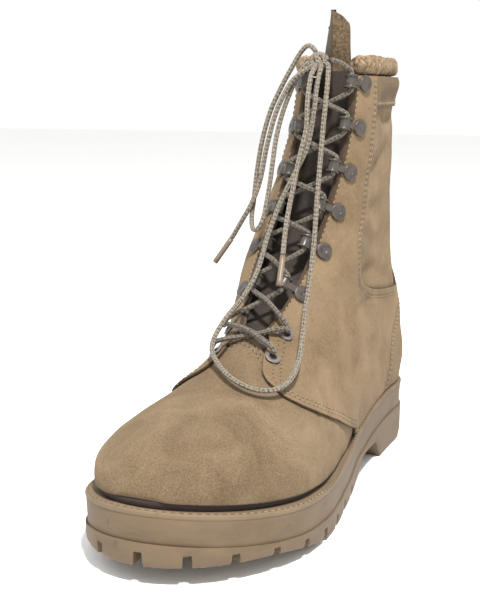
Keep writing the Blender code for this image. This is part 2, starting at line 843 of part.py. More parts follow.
def tongue_rows():
    """Cross lines of the tongue, from inside the vamp to its tip above the collar."""
    low = (THROAT_ROW - 1.6) / ROWS
    high = 0.90
    shares = (-1.0, -0.66, -0.33, 0.0, 0.30, 0.52, 0.64, 0.84, 1.0)
    lines = []
    inside = 10
    for i in range(inside):
        v = low + (high - low) * i / (inside - 1)
        half = TONGUE_HALF * (0.66 + 0.34 * smooth(i / 4.0)) * (1.0 - 0.24 * smooth((v - 0.6) / 0.3))
        line = []
        for reach in shares:
            away = (0.0022 + 0.0045 * (1.0 - reach * reach)) * smooth(i / 3.0)
            depth = WALL + 2.0 * GAP + away + 0.006 * smooth((v - 0.65) / 0.25)
            line.append(surface(v, reach * half, -depth)[0])
        lines.append(line)
    base = lines[-1]
    middle = sum(base, Vector()) / len(base)
    steps = 8
    for i in range(1, steps + 1):
        t = i / steps
        blend = smooth(t / 0.30)
        crease = world(TONGUE_MIDDLE - 0.003 * t, 0.378 * SOLE_LENGTH, 0.0)
        line = []
        for reach, point in zip(shares, base):
            narrow = 1.0 - 0.16 * t - (0.10 if i == steps else 0.0)
            folded = crease + tongue_fold(reach, t) * narrow
            corner = 0.007 * abs(reach) ** 4 if i == steps else 0.0
            flat = point.lerp(folded, blend)
            height = point.z + (TONGUE_TIP - middle.z) * t + (middle.z - point.z) * blend - corner
            line.append(Vector((flat.x, flat.y, height)))
        lines.append(line)
    return lines


def make_tongue(look):
    lines = tongue_rows()
    across = len(lines[0])
    points = [p for line in lines for p in line]
    faces = []
    for i in range(len(lines) - 1):
        for j in range(across - 1):
            a = i * across + j
            faces.append((a, a + 1, a + across + 1, a + across))
    item = place("tongue", mesh_of("tongue", points, faces), look)
    step = item.modifiers.new("Wall", 'SOLIDIFY')
    step.thickness = TONGUE_THICK
    step.offset = -1.0
    step.use_even_offset = True
    shade_soft(item, 60)


def facing_frame(height, distance, lift):
    """Places on both facings at a height: a matrix with X to the throat and Z outwards."""
    places = {}
    for side in (1, -1):
        v = row_at(height, lambda share: side * distance(share))
        centre, normal, up = surface(v, side * distance(v), lift)
        along = (up - normal * up.dot(normal)).normalized()
        inward = normal.cross(along) if side > 0 else along.cross(normal)
        turn = Matrix((inward, normal.cross(inward), normal)).transposed()
        places[side] = Matrix.Translation(centre) @ turn.to_4x4()
    return places


def loop_mesh():
    """Lace loop: a flanged tube at the throat and its stud on the leather, in one solid."""
    work = bmesh.new()
    half = SPOOL_LENGTH / 2
    flange = 0.0011
    profile = (
        (BORE_RADIUS, half), (SPOOL_RADIUS, half), (SPOOL_RADIUS, half - flange),
        (BARREL_RADIUS, half - flange), (BARREL_RADIUS, flange - half),
        (SPOOL_RADIUS, flange - half), (SPOOL_RADIUS, -half), (BORE_RADIUS, -half),
    )
    turns = 8
    rings = []
    for k in range(turns):
        angle = 2.0 * math.pi * k / turns
        ring = [work.verts.new((r * math.cos(angle), y, r * math.sin(angle))) for r, y in profile]
        rings.append(ring)
    for k in range(turns):
        a, b = rings[k], rings[(k + 1) % turns]
        for n in range(len(profile)):
            m = (n + 1) % len(profile)
            work.faces.new((a[n], a[m], b[m], b[n]))
    for vert in work.verts:
        vert.co += Vector((STUD_TO_SPOOL, 0.0, -SPOOL_DROP))
    bmesh.ops.recalc_face_normals(work, faces=work.faces[:])
    mesh = bpy.data.meshes.new("lace_loop")
    work.to_mesh(mesh)
    work.free()
    return mesh


def stud_mesh():
    """Stud head and the strap that joins it to the flanged tube."""
    work = bmesh.new()
    made = bmesh.ops.create_cone(
        work, cap_ends=True, segments=12, radius1=STUD_RADIUS, radius2=STUD_RADIUS * 0.86, depth=STUD_THICK)
    for vert in made['verts']:
        vert.co.z += STUD_THICK / 2
    mesh = bpy.data.meshes.new("stud")
    work.to_mesh(mesh)
    work.free()
    return mesh


def strap_mesh():
    work = bmesh.new()
    made = bmesh.ops.create_cube(work, size=1.0)
    reach = STUD_TO_SPOOL - BORE_RADIUS * 0.95
    for vert in made['verts']:
        x = (vert.co.x + 0.5) * reach
        vert.co = Vector((x, vert.co.y * 0.0040, 0.0002 + (vert.co.z + 0.5) * 0.0008))
    mesh = bpy.data.meshes.new("strap")
    work.to_mesh(mesh)
    work.free()
    return mesh


def make_loops(look):
    """Lace loops up both facings. Returns the tube's matrix of each, by row and side."""
    tube = place("loop_tube", loop_mesh(), look, cutters)
    for name, mesh in (("loop_stud", stud_mesh()), ("loop_strap", strap_mesh())):
        cutter = place(name, mesh, None, cutters)
        hide_cutter(cutter)
        boolean(tube, cutter, 'UNION')
    bpy.context.view_layer.update()
    graph = bpy.context.evaluated_depsgraph_get()
    joined = bpy.data.meshes.new_from_object(tube.evaluated_get(graph))
    bpy.data.objects.remove(tube, do_unlink=True)
    lift = LAYER + LAYER_GAP + 2.0 * GAP
    centres = []
    for number, share in enumerate(LOOP_HEIGHTS, 1):
        places = facing_frame(share * SHAFT_HEIGHT, lambda v: throat_half(v) + STUD_BACK, lift)
        for side, word in ((1, "lateral"), (-1, "medial")):
            item = place(f"lace_loop_{word}_{number}", joined, None)
            item.matrix_world = places[side]
            shade_soft(item, 40)
        to_spool = Matrix.Translation((STUD_TO_SPOOL, 0.0, -SPOOL_DROP))
        centres.append({side: places[side] @ to_spool for side in (1, -1)})
    return centres


def make_eyelets(look):
    lift = LAYER + LAYER_GAP + 3.0 * GAP
    centres = []
    for number, share in enumerate(EYELET_HEIGHTS, 1):
        places = facing_frame(share * SHAFT_HEIGHT, lambda v: EYELET_OUT, lift)
        for side, word in ((1, "lateral"), (-1, "medial")):
            profile = (
                (EYELET_RADIUS, EYELET_THICK * 0.6), (EYELET_RADIUS, 0.0),
                (EYELET_BORE, 0.0), (EYELET_BORE, EYELET_THICK),
            )
            work = bmesh.new()
            turns = 12
            rings = []
            for k in range(turns):
                angle = 2.0 * math.pi * k / turns
                x, y = math.cos(angle), math.sin(angle)
                rings.append([work.verts.new((r * x, r * y, z)) for r, z in profile])
            for k in range(turns):
                a, b = rings[k], rings[(k + 1) % turns]
                for n in range(len(profile)):
                    m = (n + 1) % len(profile)
                    work.faces.new((a[n], a[m], b[m], b[n]))
            bmesh.ops.recalc_face_normals(work, faces=work.faces[:])
            mesh = bpy.data.meshes.new("eyelet")
            work.to_mesh(mesh)
            work.free()
            item = place(f"eyelet_{word}_{number}", mesh, look)
            item.matrix_world = places[side]
            shade_soft(item, 40)
        centres.append(places)
    return centres


def smooth_route(points, spacing):
    """Points on a smooth curve through the route's own points, about a spacing apart."""
    points = [Vector(p) for p in points]
    padded = [points[0] * 2 - points[1]] + points + [points[-1] * 2 - points[-2]]
    route = []
    for i in range(1, len(padded) - 2):
        p0, p1, p2, p3 = padded[i - 1:i + 3]
        steps = max(1, round((p2 - p1).length / spacing))
        for k in range(steps):
            t = k / steps
            a = p1 * 2 + (p2 - p0) * t
            b = (p0 * 2 - p1 * 5 + p2 * 4 - p3) * t * t
            c = (p1 * 3 - p0 - p2 * 3 + p3) * t ** 3
            route.append((a + b + c) * 0.5)
    route.append(points[-1])
    return route


def cord(name, points, look, diameter=LACE, spacing=LACE * 2.2):
    """Round cord along a route."""
    curve = bpy.data.curves.new(name, 'CURVE')
    curve.dimensions = '3D'
    curve.bevel_depth = diameter / 2
    curve.bevel_resolution = 2
    curve.use_fill_caps = True
    line = curve.splines.new('POLY')
    route = smooth_route(points, spacing)
    line.points.add(len(route) - 1)
    for point, place_at in zip(line.points, route):
        point.co = (*place_at, 1.0)
    curve.materials.append(look)
    item = bpy.data.objects.new(name, curve)
    collection.objects.link(item)
    return item


def loop_stops(matrix):
    """Points of the lace through a loop's tube, from below to above."""
    reach = SPOOL_LENGTH / 2
    up = 1.0 if (matrix.to_3x3() @ Vector((0, 1, 0))).z > 0 else -1.0
    out = reach + LACE * 0.75
    return [matrix @ Vector((0.0, up * y, 0.0)) for y in (-out, -reach * 0.6, reach * 0.6, out)]


def eyelet_stops(matrix, first):
    """Points of the lace over an eyelet, from the throat side and back to it."""
    height = LACE / 2 + EYELET_THICK + 0.0010
    up = 1.0 if (matrix.to_3x3() @ Vector((0, 1, 0))).z > 0 else -1.0
    places = ((0.0, 0.0, height), (0.0045, 0.003, height + 0.0008))
    if not first:
        places = ((0.0045, -0.003, height + 0.0008),) + places
    return [matrix @ Vector((x, up * y, z)) for x, y, z in places]


def make_lacing(look, loops, eyelets):
    """Two crossing runs of lace, from the bottom eyelets through the loops to the top."""
    for word, first in (("a", 1), ("b", -1)):
        side = first
        stops = []
        for number, places in enumerate(eyelets):
            stops.append(eyelet_stops(places[side], number == 0))
            side = -side
        for places in loops:
            stops.append(loop_stops(places[side]))
            side = -side
        route = list(stops[0])
        for number, points in enumerate(stops[1:]):
            here, there = route[-1], points[0]
            _, normal, _ = surface(row_at((here.z + there.z) / 2, throat_half), 0.0001)
            over = 0.0044 if (number + (first > 0)) % 2 else -0.0006
            route.append((here + there) / 2 + normal * over)
            route += points
        knot = on_boot(KNOT)
        towards = -side * Vector((KNOT_SIZE[0] / 2 + LACE / 2.0, 0.0, 0.0))
        route.append((route[-1] + knot + towards) / 2 + Vector((0.0, 0.0, 0.0016)))
        route.append(knot + towards + Vector((0.0, 0.0, 0.0004)))
        cord(f"lace_crossings_{word}", route, look)


def on_boot(point):
    """Point of a route in metres: its height follows the shaft's."""
    x, y, z = point
    return Vector((x * 0.001, y * 0.001, z * SHAFT_HEIGHT / ROUTE_SHAFT))


def make_free_laces(look, tip_look):
    """Knot at the collar, the two bows, the two ends and their tips."""
    work = bmesh.new()
    bmesh.ops.create_uvsphere(work, u_segments=12, v_segments=8, radius=0.5)
    mesh = bpy.data.meshes.new("lace_knot")
    for vert in work.verts:
        vert.co = on_boot(KNOT) + Vector([a * b for a, b in zip(vert.co, KNOT_SIZE)])
    work.to_mesh(mesh)
    work.free()
    shade_soft(place("lace_knot", mesh, look), 80)
    for name, route in (("lace_bow_low", LOW_BOW), ("lace_bow_left", LEFT_BOW),
                        ("lace_end_left", LEFT_END), ("lace_end_middle", MIDDLE_END)):
        cord(name, [on_boot(point) for point in route], look)
    for name, (start, end) in (("lace_tip_left", LEFT_TIP), ("lace_tip_middle", MIDDLE_TIP)):
        a, b = on_boot(start), on_boot(end)
        work = bmesh.new()
        radius = TIP_DIAMETER / 2
        bmesh.ops.create_cone(
            work, cap_ends=True, segments=10, radius1=radius, radius2=radius, depth=(b - a).length)
        mesh = bpy.data.meshes.new(name)
        work.to_mesh(mesh)
        work.free()
        item = place(name, mesh, tip_look)
        turn = (b - a).to_track_quat('Z', 'Y').to_matrix().to_4x4()
        item.matrix_world = Matrix.Translation((a + b) / 2) @ turn
        shade_soft(item, 40)


def build():
    clear_scene()
    suede = material("suede", (0.42, 0.30, 0.19), 0.95)
    smooth_panel = material("smooth_leather", (0.40, 0.29, 0.18), 0.75)
    rubber = material("rubber", (0.36, 0.26, 0.15), 0.7)
    welt_look = material("welt", (0.42, 0.31, 0.19), 0.75)
    dark = material("dark_rand", (0.03, 0.015, 0.012), 0.8)
    insole_look = material("insole", (0.08, 0.07, 0.06), 0.9)
    metal = material("painted_metal", (0.20, 0.16, 0.12), 0.5, 0.2)
    ring = material("eyelet_ring", (0.30, 0.26, 0.24), 0.45, 0.3)
    lace = material("lace", (0.32, 0.27, 0.20), 0.9)
    make_sole(rubber, welt_look, dark)
    make_insole(insole_look)
    make_upper(smooth_panel)
    make_quarters(suede)
    make_counter(suede)
    make_band(smooth_panel)
    make_roll(suede)
    make_tongue(smooth_panel)
    loops = make_loops(metal)
    eyelets = make_eyelets(ring)
    make_lacing(lace, loops, eyelets)
    make_free_laces(lace, ring)


build()
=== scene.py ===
"""Left suede combat boot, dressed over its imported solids.

Metres, +Z up. The toe points along -Y and +X is the wearer's left, the boot's outer side.
In the functions, s is the distance forward of the heel's back and z the height.
"""
import math
import bpy
import bmesh
import numpy as np
from mathutils import Matrix, Vector, geometry, noise


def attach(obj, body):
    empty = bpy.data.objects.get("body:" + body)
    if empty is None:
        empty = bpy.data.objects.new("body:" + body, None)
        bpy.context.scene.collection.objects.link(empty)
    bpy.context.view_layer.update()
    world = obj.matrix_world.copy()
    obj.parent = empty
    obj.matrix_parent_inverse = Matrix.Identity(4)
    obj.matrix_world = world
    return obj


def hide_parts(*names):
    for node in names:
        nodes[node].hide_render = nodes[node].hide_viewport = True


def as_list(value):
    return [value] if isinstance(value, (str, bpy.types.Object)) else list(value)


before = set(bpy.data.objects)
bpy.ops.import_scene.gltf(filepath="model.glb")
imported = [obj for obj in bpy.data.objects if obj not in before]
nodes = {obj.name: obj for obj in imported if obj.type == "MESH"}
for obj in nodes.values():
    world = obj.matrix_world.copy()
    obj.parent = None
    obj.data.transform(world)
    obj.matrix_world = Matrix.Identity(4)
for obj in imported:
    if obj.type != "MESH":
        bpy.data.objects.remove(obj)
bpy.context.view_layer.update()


# Camera, floor and studio light
# The boot stands on a pale floor, seen from the toe's outer side and a little above.
# A firm light stands high on the right, a weak one fills from the left, and the sky is pale.
LOOK_AT = Vector((-0.078, -0.090, 0.1055))
CAMERA_TURN = math.radians(25.8)
CAMERA_RISE = math.radians(10.2)
CAMERA_DISTANCE = 0.780
FLOOR_REACH = 6.0
FLOOR_DROP = 0.0002


def stand(name, data):
    """New object of some data, in the scene."""
    made = bpy.data.objects.new(name, data)
    bpy.context.scene.collection.objects.link(made)
    return made


def finish_of(name, rough):
    """New finish, with a maker of its nodes and a setter of its shader.

    A node or a socket that is given as a value is linked.
    """
    look = bpy.data.materials.new(name)
    look.use_nodes = True
    tree = look.node_tree

    def feed(socket, value):
        value = value.outputs[0] if isinstance(value, bpy.types.Node) else value
        if isinstance(value, bpy.types.NodeSocket):
            tree.links.new(value, socket)
        else:
            socket.default_value = value

    def fill(node, values):
        for key, value in values.items():
            if hasattr(node, key):
                setattr(node, key, value)
            else:
                feed(node.inputs[key.replace("_", " ")], value)

    def add(kind, sources=(), **values):
        node = tree.nodes.new("ShaderNode" + kind)
        fill(node, values)
        for number, value in sources.items() if isinstance(sources, dict) else enumerate(sources):
            feed(node.inputs[number], value)
        return node

    def shade(**values):
        fill(tree.nodes["Principled BSDF"], values)

    shade(Roughness=rough)
    return look, add, shade


camera_data = bpy.data.cameras.new("camera")
camera_data.lens = 69.0
camera_data.sensor_width = 36.0
camera_data.shift_x = 0.080
camera_data.clip_end = 20.0
camera = stand("camera", camera_data)
bpy.context.scene.camera = camera
back = Vector((math.sin(CAMERA_TURN), -math.cos(CAMERA_TURN), 0.0)) * math.cos(CAMERA_RISE)
back.z = math.sin(CAMERA_RISE)
camera.location = LOOK_AT + back * CAMERA_DISTANCE
camera.rotation_euler = (-back).to_track_quat('-Z', 'Y').to_euler()

floor_mesh = bpy.data.meshes.new("floor")
corners = [(x * FLOOR_REACH, y * FLOOR_REACH, 0.0) for x, y in ((-1, -1), (1, -1), (1, 1), (-1, 1))]
floor_mesh.from_pydata(corners, [], [(0, 1, 2, 3)])
floor = stand("floor", floor_mesh)
floor.location.z = -FLOOR_DROP
paper, add, shade = finish_of("floor_paper", 0.9)
shade(Base_Color=(0.93, 0.93, 0.92, 1.0))
floor_mesh.materials.append(paper)

for name, spot, aim, size, power in (
        ("key_light", (0.50, -0.85, 1.55), (0.0, -0.10, 0.10), 0.16, 50.0),
        ("side_light", (-1.0, -0.6, 1.2), (0.0, -0.08, 0.12), 0.9, 3.0)):
    lamp = bpy.data.lights.new(name, 'AREA')
    lamp.size = size
    lamp.energy = power
    made = stand(name, lamp)
    made.location = spot
    made.rotation_euler = (Vector(aim) - Vector(spot)).to_track_quat('-Z', 'Y').to_euler()
sky = bpy.data.worlds.new("studio")
sky.use_nodes = True
backdrop = sky.node_tree.nodes["Background"]
backdrop.inputs["Color"].default_value = (1.0, 1.0, 1.0, 1.0)
backdrop.inputs["Strength"].default_value = 1.0
bpy.context.scene.world = sky
bpy.context.scene.view_settings.view_transform = 'Standard'


# Free laces
# Round braided cord of about 3 mm in tan thread with dark flecks, knotted at the collar.
# One low bow hangs over the vamp, one bow hangs by the inner facing, and two ends hang with clear-wound tips.
LACE = 0.0030
TIP = 0.0034
LACE_STEP = 0.0011
INTO_KNOT = 0.4
KNOT = Vector((0.016, -0.108, 0.263))
KNOT_SIZE = (0.0120, 0.0086, 0.0104)
LOW_BOW = (
    (19.0, -112.6, 258.9), (18.6, -115.4, 253), (18, -118, 243), (18, -119.5, 236), (15, -122, 213),
    (9, -126, 197), (2, -131, 180), (-3, -139, 160), (-5, -151, 139), (-8, -163, 126), (-14, -176, 114),
    (-17, -186, 104), (-14, -196, 98), (-6, -206, 94), (5, -216, 90), (16, -221, 87), (26, -219, 84.5),
    (33, -210, 84.5), (35.5, -197, 88), (34, -182, 95), (31, -169, 106), (28.5, -158, 119),
    (27, -147, 136), (25.5, -137, 157), (24.5, -131, 177), (24, -127, 192), (24, -121, 222),
    (24.5, -118, 240), (24.3, -115, 251), (22.8, -110.7, 260),
)
LEFT_BOW = (
    (12.5, -107, 269.8), (8, -106, 272), (3, -105, 268), (-2, -105, 260), (-8, -106, 249),
    (-15, -108, 233), (-19.5, -110, 215), (-22, -112, 196), (-22.6, -115.5, 178), (-21.6, -121, 168),
    (-18, -128, 161.5), (-13.5, -131, 161.5), (-10.5, -129.5, 168), (-9.5, -126.5, 178), (-9, -122.5, 190),
    (-8.5, -119.5, 203), (-8, -115.5, 217), (-5.5, -112.5, 231), (-1.5, -111, 243), (3.5, -110.4, 254),
    (9.2, -110.4, 260.9),
)
LEFT_END = (
    (11.9, -112.1, 259.2), (7, -114, 255.6), (0, -114.5, 249), (-8, -115.5, 233), (-13.5, -117, 212),
    (-17, -118.8, 191), (-21, -122, 177), (-27.5, -123, 165), (-34.5, -122, 154),
)
LEFT_TIP = ((-34.9, -122.1, 153.3), (-45.3, -124, 138))
MIDDLE_END = (
    (15.4, -113.2, 258.9), (14.6, -118.5, 252), (15, -124, 238), (15.5, -127, 222), (12.5, -130, 205),
    (11, -134, 190), (10, -139, 176), (10.5, -146, 162), (12, -153, 150),
)
MIDDLE_TIP = ((12.2, -153.6, 149.2), (14.5, -165, 133.5))


def between(p0, p1, p2, p3, t):
    """Point at a share t of the way from p1 to p2, on a smooth curve through all four."""
    a = p1 * 2 + (p2 - p0) * t
    b = (p0 * 2 - p1 * 5 + p2 * 4 - p3) * t * t
    c = (p1 * 3 - p0 - p2 * 3 + p3) * t ** 3
    return (a + b + c) * 0.5


def smooth_route(points, spacing):
    """Points on a smooth curve through the route's own points, about a spacing apart."""
    points = [Vector(p) for p in points]
    padded = [points[0] * 2 - points[1]] + points + [points[-1] * 2 - points[-2]]
    route = []
    for four in zip(padded, padded[1:], padded[2:], padded[3:]):
        steps = max(1, round((four[2] - four[1]).length / spacing))
        route += [between(*four, k / steps) for k in range(steps)]
    return route + [points[-1]]


def in_metres(route):
    return [Vector(p) * 0.001 for p in route]


def place(name, mesh, looks, slot, *stood_for):
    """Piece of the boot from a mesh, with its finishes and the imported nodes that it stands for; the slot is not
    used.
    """
    for look in looks:
        mesh.materials.append(look)
    made = stand(name, mesh)
    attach(made, "root")
    if stood_for:
        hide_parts(*stood_for)
    return made


def mesh_of(name, points, faces):
    mesh = bpy.data.meshes.new(name)
    mesh.from_pydata([tuple(p) for p in points], [], faces)
    mesh.shade_smooth()
    return mesh


def between_rows(rows, count, first=0, closed=True):
    """Faces between rows of points, each row of one count, closed round or open."""
    made = []
    for i in range(rows - 1):
        for n in range(count if closed else count - 1):
            a, b = first + i * count + n, first + i * count + (n + 1) % count
            made.append((a, b, b + count, a + count))
    return made


def lace_tube(name, route, thick, look, slot, *stood_for):
    """Round cord along a route, with its surface laid out round and along for the braid."""
    sides = 12
    points, around, along = [], [], []
    count = len(route)
    across = (route[1] - route[0]).normalized().orthogonal().normalized()
    run = 0.0
    for i, centre in enumerate(route):
        ahead = (route[min(i + 1, count - 1)] - route[max(i - 1, 0)]).normalized()
        across = (across - ahead * across.dot(ahead)).normalized()
        other = ahead.cross(across)
        run += (centre - route[i - 1]).length if i else 0.0
        for n in range(sides):
            angle = 2.0 * math.pi * n / sides
            points.append(centre + (across * math.cos(angle) + other * math.sin(angle)) * thick / 2)
            around.append(n / sides)
            along.append(run)
    faces = between_rows(count, sides)
    faces += [tuple(reversed(range(sides))), tuple(range(len(points) - sides, len(points)))]
    mesh = mesh_of(name, points, faces)
    layer = mesh.uv_layers.new(name="round_and_along")
    for face in mesh.polygons:
        wraps = max(around[v] for v in face.vertices) > 0.7
        for loop in face.loop_indices:
            v = mesh.loops[loop].vertex_index
            layer.data[loop].uv = (around[v] + (1.0 if wraps and around[v] < 0.3 else 0.0), along[v] * 100.0)
    return place(name, mesh, (look,), slot, *stood_for)


def ramp(add, source, *stops):
    """Colour ramp of a source, through stops of place and colour."""
    node = add("ValToRGB", (source,))
    band = node.color_ramp.elements
    while len(band) < len(stops):
        band.new(0.5)
    for element, (at, colour) in zip(band, stops):
        element.position = at
        element.color = (*colour, 1.0)
    return node


def braid_finish(name, tone):
    """Tan braid: two sets of slanting strands, with dark flecks where a dark thread crosses."""
    look, add, shade = finish_of(name, 0.85)
    where = add("UVMap", uv_map="round_and_along")
    parts = add("SeparateXYZ", (where,))
    slants = []
    for way in (1.0, -1.0):
        turned = add("Math", (parts, 6.0 * math.pi * way), operation='MULTIPLY')
        run = add("Math", (parts.outputs[1], 12.0, turned), operation='MULTIPLY_ADD')
        slants.append(add("Math", (run,), operation='SINE'))
    cross = add("Math", slants, operation='MULTIPLY')
    spots = add("TexNoise", noise_dimensions='2D', Scale=9.0, Detail=2.0, Vector=where)
    total = add("Math", (cross, 0.16, spots), operation='MULTIPLY_ADD')
    stops = ((0.27, (0.030, 0.024, 0.018)), (0.40, (0.100, 0.080, 0.056)), (0.60, (0.195, 0.163, 0.120)))
    shade(
        Base_Color=ramp(add, total, *((at, tuple(c * tone for c in colour)) for at, colour in stops)),
        Normal=add("Bump", Strength=0.8, Distance=0.0003, Height=cross), Sheen_Weight=0.15)
    return look


braid = braid_finish("lace_braid", 1.0)
tip_look, add, shade = finish_of("lace_tip", 0.35)
wound = add("TexWave", bands_direction='Z', Scale=420.0, Vector=add("TexCoord").outputs["Object"])
shade(
    Base_Color=(0.15, 0.11, 0.073, 1.0),
    Normal=add("Bump", Strength=0.25, Distance=0.0002, Height=wound.outputs["Fac"]))

tips = {}
for word, ends in (("left", LEFT_TIP), ("middle", MIDDLE_TIP)):
    start, end = in_metres(ends)
    line = [start.lerp(end, k / 6) for k in range(7)]
    tips[word] = lace_tube(f"lace_tip_{word}_end", line, TIP, tip_look, "lace_tip", f"lace_tip_{word}")

for word, route, far_end, carried in (
        ("bow_low", LOW_BOW, "knot", []), ("bow_left", LEFT_BOW, "knot", []),
        ("end_left", LEFT_END, "fitting", [tips["left"]]), ("end_middle", MIDDLE_END, "fitting", [tips["middle"]])):
    stops = in_metres(route)
    stops = [KNOT + (stops[0] - KNOT) * INTO_KNOT] + stops
    if far_end == "knot":
        stops.append(KNOT + (stops[-1] - KNOT) * INTO_KNOT)
    line = smooth_route(stops, LACE_STEP)
    strand = lace_tube(f"lace_{word}_cord", line, LACE, braid, "lace", f"lace_{word}")
    tuple(line[0])
    sum((b - a).length for a, b in zip(line, line[1:]))
    [tuple(p) for p in line]
    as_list(carried)

# The knot is three tight turns of the same cord wound over each other.
knot_turns = []
for k in range(97):
    angle = 2.0 * math.pi * 3.0 * (k / 96)
    across = Matrix.Rotation(math.pi * (k / 96), 3, 'Z') @ Vector((math.cos(angle), 0.0, math.sin(angle)))
    spread = Vector([KNOT_SIZE[i] / 2 - LACE * 0.42 for i in range(3)])
    knot_turns.append(KNOT + across * spread)
lace_tube("lace_knot_turns", knot_turns, LACE, braid, "lace", "lace_knot")


# Sole unit
# One moulded tan rubber sole: lugged outsole, midsole wall and a stitched welt ledge round the forefoot.
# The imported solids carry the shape; copies with softened edges stand for them.
def rubber_finish(name, dark, light, rough, marks):
    """Matt moulded rubber: faint clouding, rubbed patches, fine dust and small dents."""
    look, add, shade = finish_of(name, rough)
    where = add("TexCoord").outputs["Object"]
    stretch = add("Mapping", Scale=(1.0, 1.0, 2.6), Vector=where)
    cloud = add("TexNoise", Scale=38.0, Detail=6.0, Roughness=0.62, Vector=stretch)
    tint = ramp(add, cloud, (0.30, dark), (0.52, light), (0.78, tuple(min(1.0, c * 1.10) for c in light)))
    scuff = add("TexNoise", Scale=150.0, Detail=3.0, Vector=where)
    mask = ramp(add, scuff, (0.66, (0, 0, 0)), (0.74, (1, 1, 1)))
    weak = add("Math", (mask, 0.45), operation='MULTIPLY')
    rub = add("Mix", {0: weak, 6: tint, 7: (*marks, 1.0)}, data_type='RGBA')
    fine = add("TexNoise", Scale=900.0, Detail=3.0, Vector=where)
    shade(Base_Color=rub.outputs[2], Normal=add("Bump", Strength=0.22, Distance=0.0003, Height=fine))
    return look


rubber = rubber_finish("sole_rubber", (0.092, 0.060, 0.031), (0.116, 0.076, 0.040), 0.70, (0.054, 0.035, 0.021))
welt_look = rubber_finish("welt_rubber", (0.110, 0.073, 0.039), (0.142, 0.097, 0.053), 0.72, (0.050, 0.032, 0.020))
# The rand strip between the upper and the welt is near black: a dark rand, with the shade of the gap above the welt
# painted into it.
rand_gap_shade = rubber_finish("dark_rand", (0.012, 0.006, 0.005), (0.022, 0.012, 0.009), 0.65, (0.03, 0.018, 0.012))
FLAT = 0.8
SEAM_RISE = 0.00028
SEAM_SHARE = 0.22


def to_mesh(work, mesh):
    """Close a mesh in the making."""
    work.to_mesh(mesh)
    work.free()
    return mesh


def softened(node, name, look, width, slot, joined=()):
    """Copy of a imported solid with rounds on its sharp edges, finer on the faces that join the next piece."""
    mesh = nodes[node].data.copy()
    mesh.name = name
    mesh.materials.clear()
    work = bmesh.new()
    work.from_mesh(mesh)
    bmesh.ops.remove_doubles(work, verts=work.verts, dist=0.00002)
    bmesh.ops.dissolve_limit(work, angle_limit=math.radians(0.6), verts=work.verts, edges=work.edges)
    if "up" in joined:
        for vert in work.verts:
            if any(face.normal.z > FLAT for face in vert.link_faces):
                vert.co.z += SEAM_RISE
    share = work.edges.layers.float.new("bevel_weight_edge")
    for edge in work.edges:
        if len(edge.link_faces) == 2 and edge.calc_face_angle() > math.radians(32):
            ups = [face.normal.z for face in edge.link_faces]
            seam = ("up" in joined and max(ups) > FLAT) or ("down" in joined and min(ups) < -FLAT)
            edge[share] = SEAM_SHARE if seam else 1.0
    made = place(name, to_mesh(work, mesh), (look,), slot, node)
    round_off = made.modifiers.new("Edge", 'BEVEL')
    round_off.width = width
    round_off.segments = 2
    round_off.limit_method = 'WEIGHT'
    round_off.harden_normals = True
    mesh.shade_smooth()
    mesh.set_sharp_from_angle(angle=math.radians(60))


softened("outsole", "outsole_tread", rubber, 0.0008, "rubber", ("up",))
softened("midsole", "midsole_wall", rubber, 0.0006, "rubber", ("up", "down"))
softened("welt", "welt_ledge", welt_look, 0.0007, "welt", ("down",))
softened("rand", "rand_strip", rand_gap_shade, 0.0004, "dark_rand")


# Last of the boot
# The upper is lasted over one form, and every leather layer follows it.
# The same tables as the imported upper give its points, here on a much finer grid.
SOLE_LENGTH = 0.345
BALL_WIDTH = 0.122
HEEL_WIDTH = 0.087
HEEL_HEIGHT = 0.042
FORE_HEIGHT = 0.0295
TOE_SPRING = 0.011
HEEL_REST = 0.040
RAND_TOE = 0.0036
RAND_BACK = 0.0010
LEDGE = 0.0036
SHAFT_HEIGHT = 0.254
SHAFT_WIDTH = 0.076
WALL = 0.0022
LAYER = 0.0016
GAP = 0.0003
LAYER_GAP = 0.00055
BULGE = 0.0022
SHAFT_LEAN = 0.012
SHAFT_TWIST = 0.11
THROAT_HALF = 0.0165
TOE_ROUND = 0.225
THROAT_START = 0.55
PLAN = (
    # station, half width and shift, as shares
    (0.00, 0.497, 0.000), (0.16, 0.497, 0.002), (0.25, 0.500, 0.008), (0.35, 0.458, 0.020),
    (0.45, 0.405, 0.036), (0.55, 0.412, 0.040), (0.65, 0.462, 0.028), (0.73, 0.492, 0.014),
    (0.80, 0.495, 0.000), (0.88, 0.495, -0.024), (0.95, 0.495, -0.050), (1.00, 0.495, -0.070),
)
BACK = (
    # height and station
    (0.161, 0.018), (0.202, 0.012), (0.263, 0.008), (0.333, 0.012), (0.414, 0.028),
    (0.505, 0.050), (0.600, 0.060), (0.730, 0.058), (0.866, 0.052), (1.000, 0.048),
)
FRONT = (
    # height and station
    (0.151, 0.972), (0.179, 0.979), (0.214, 0.971), (0.248, 0.945), (0.277, 0.900), (0.299, 0.840),
    (0.321, 0.775), (0.349, 0.712), (0.386, 0.652), (0.435, 0.594), (0.495, 0.542), (0.562, 0.500),
    (0.640, 0.468), (0.730, 0.446), (0.830, 0.430), (0.920, 0.420), (1.000, 0.414),
)
SHAFT = (
    # height and half width
    (0.161, 0.500), (0.303, 0.500), (0.424, 0.485), (0.555, 0.452), (0.750, 0.380), (0.900, 0.336), (1.000, 0.322),
)


def smooth(t):
    """Soft step from 0 to 1."""
    t = np.clip(t, 0.0, 1.0)
    return t * t * (3.0 - 2.0 * t)


def round_end(t):
    """Quarter circle that rises from 0 at t = 0 to 1 at t = 1."""
    t = np.clip(t, 0.0, 1.0)
    return np.sqrt(1.0 - (1.0 - t) ** 2)


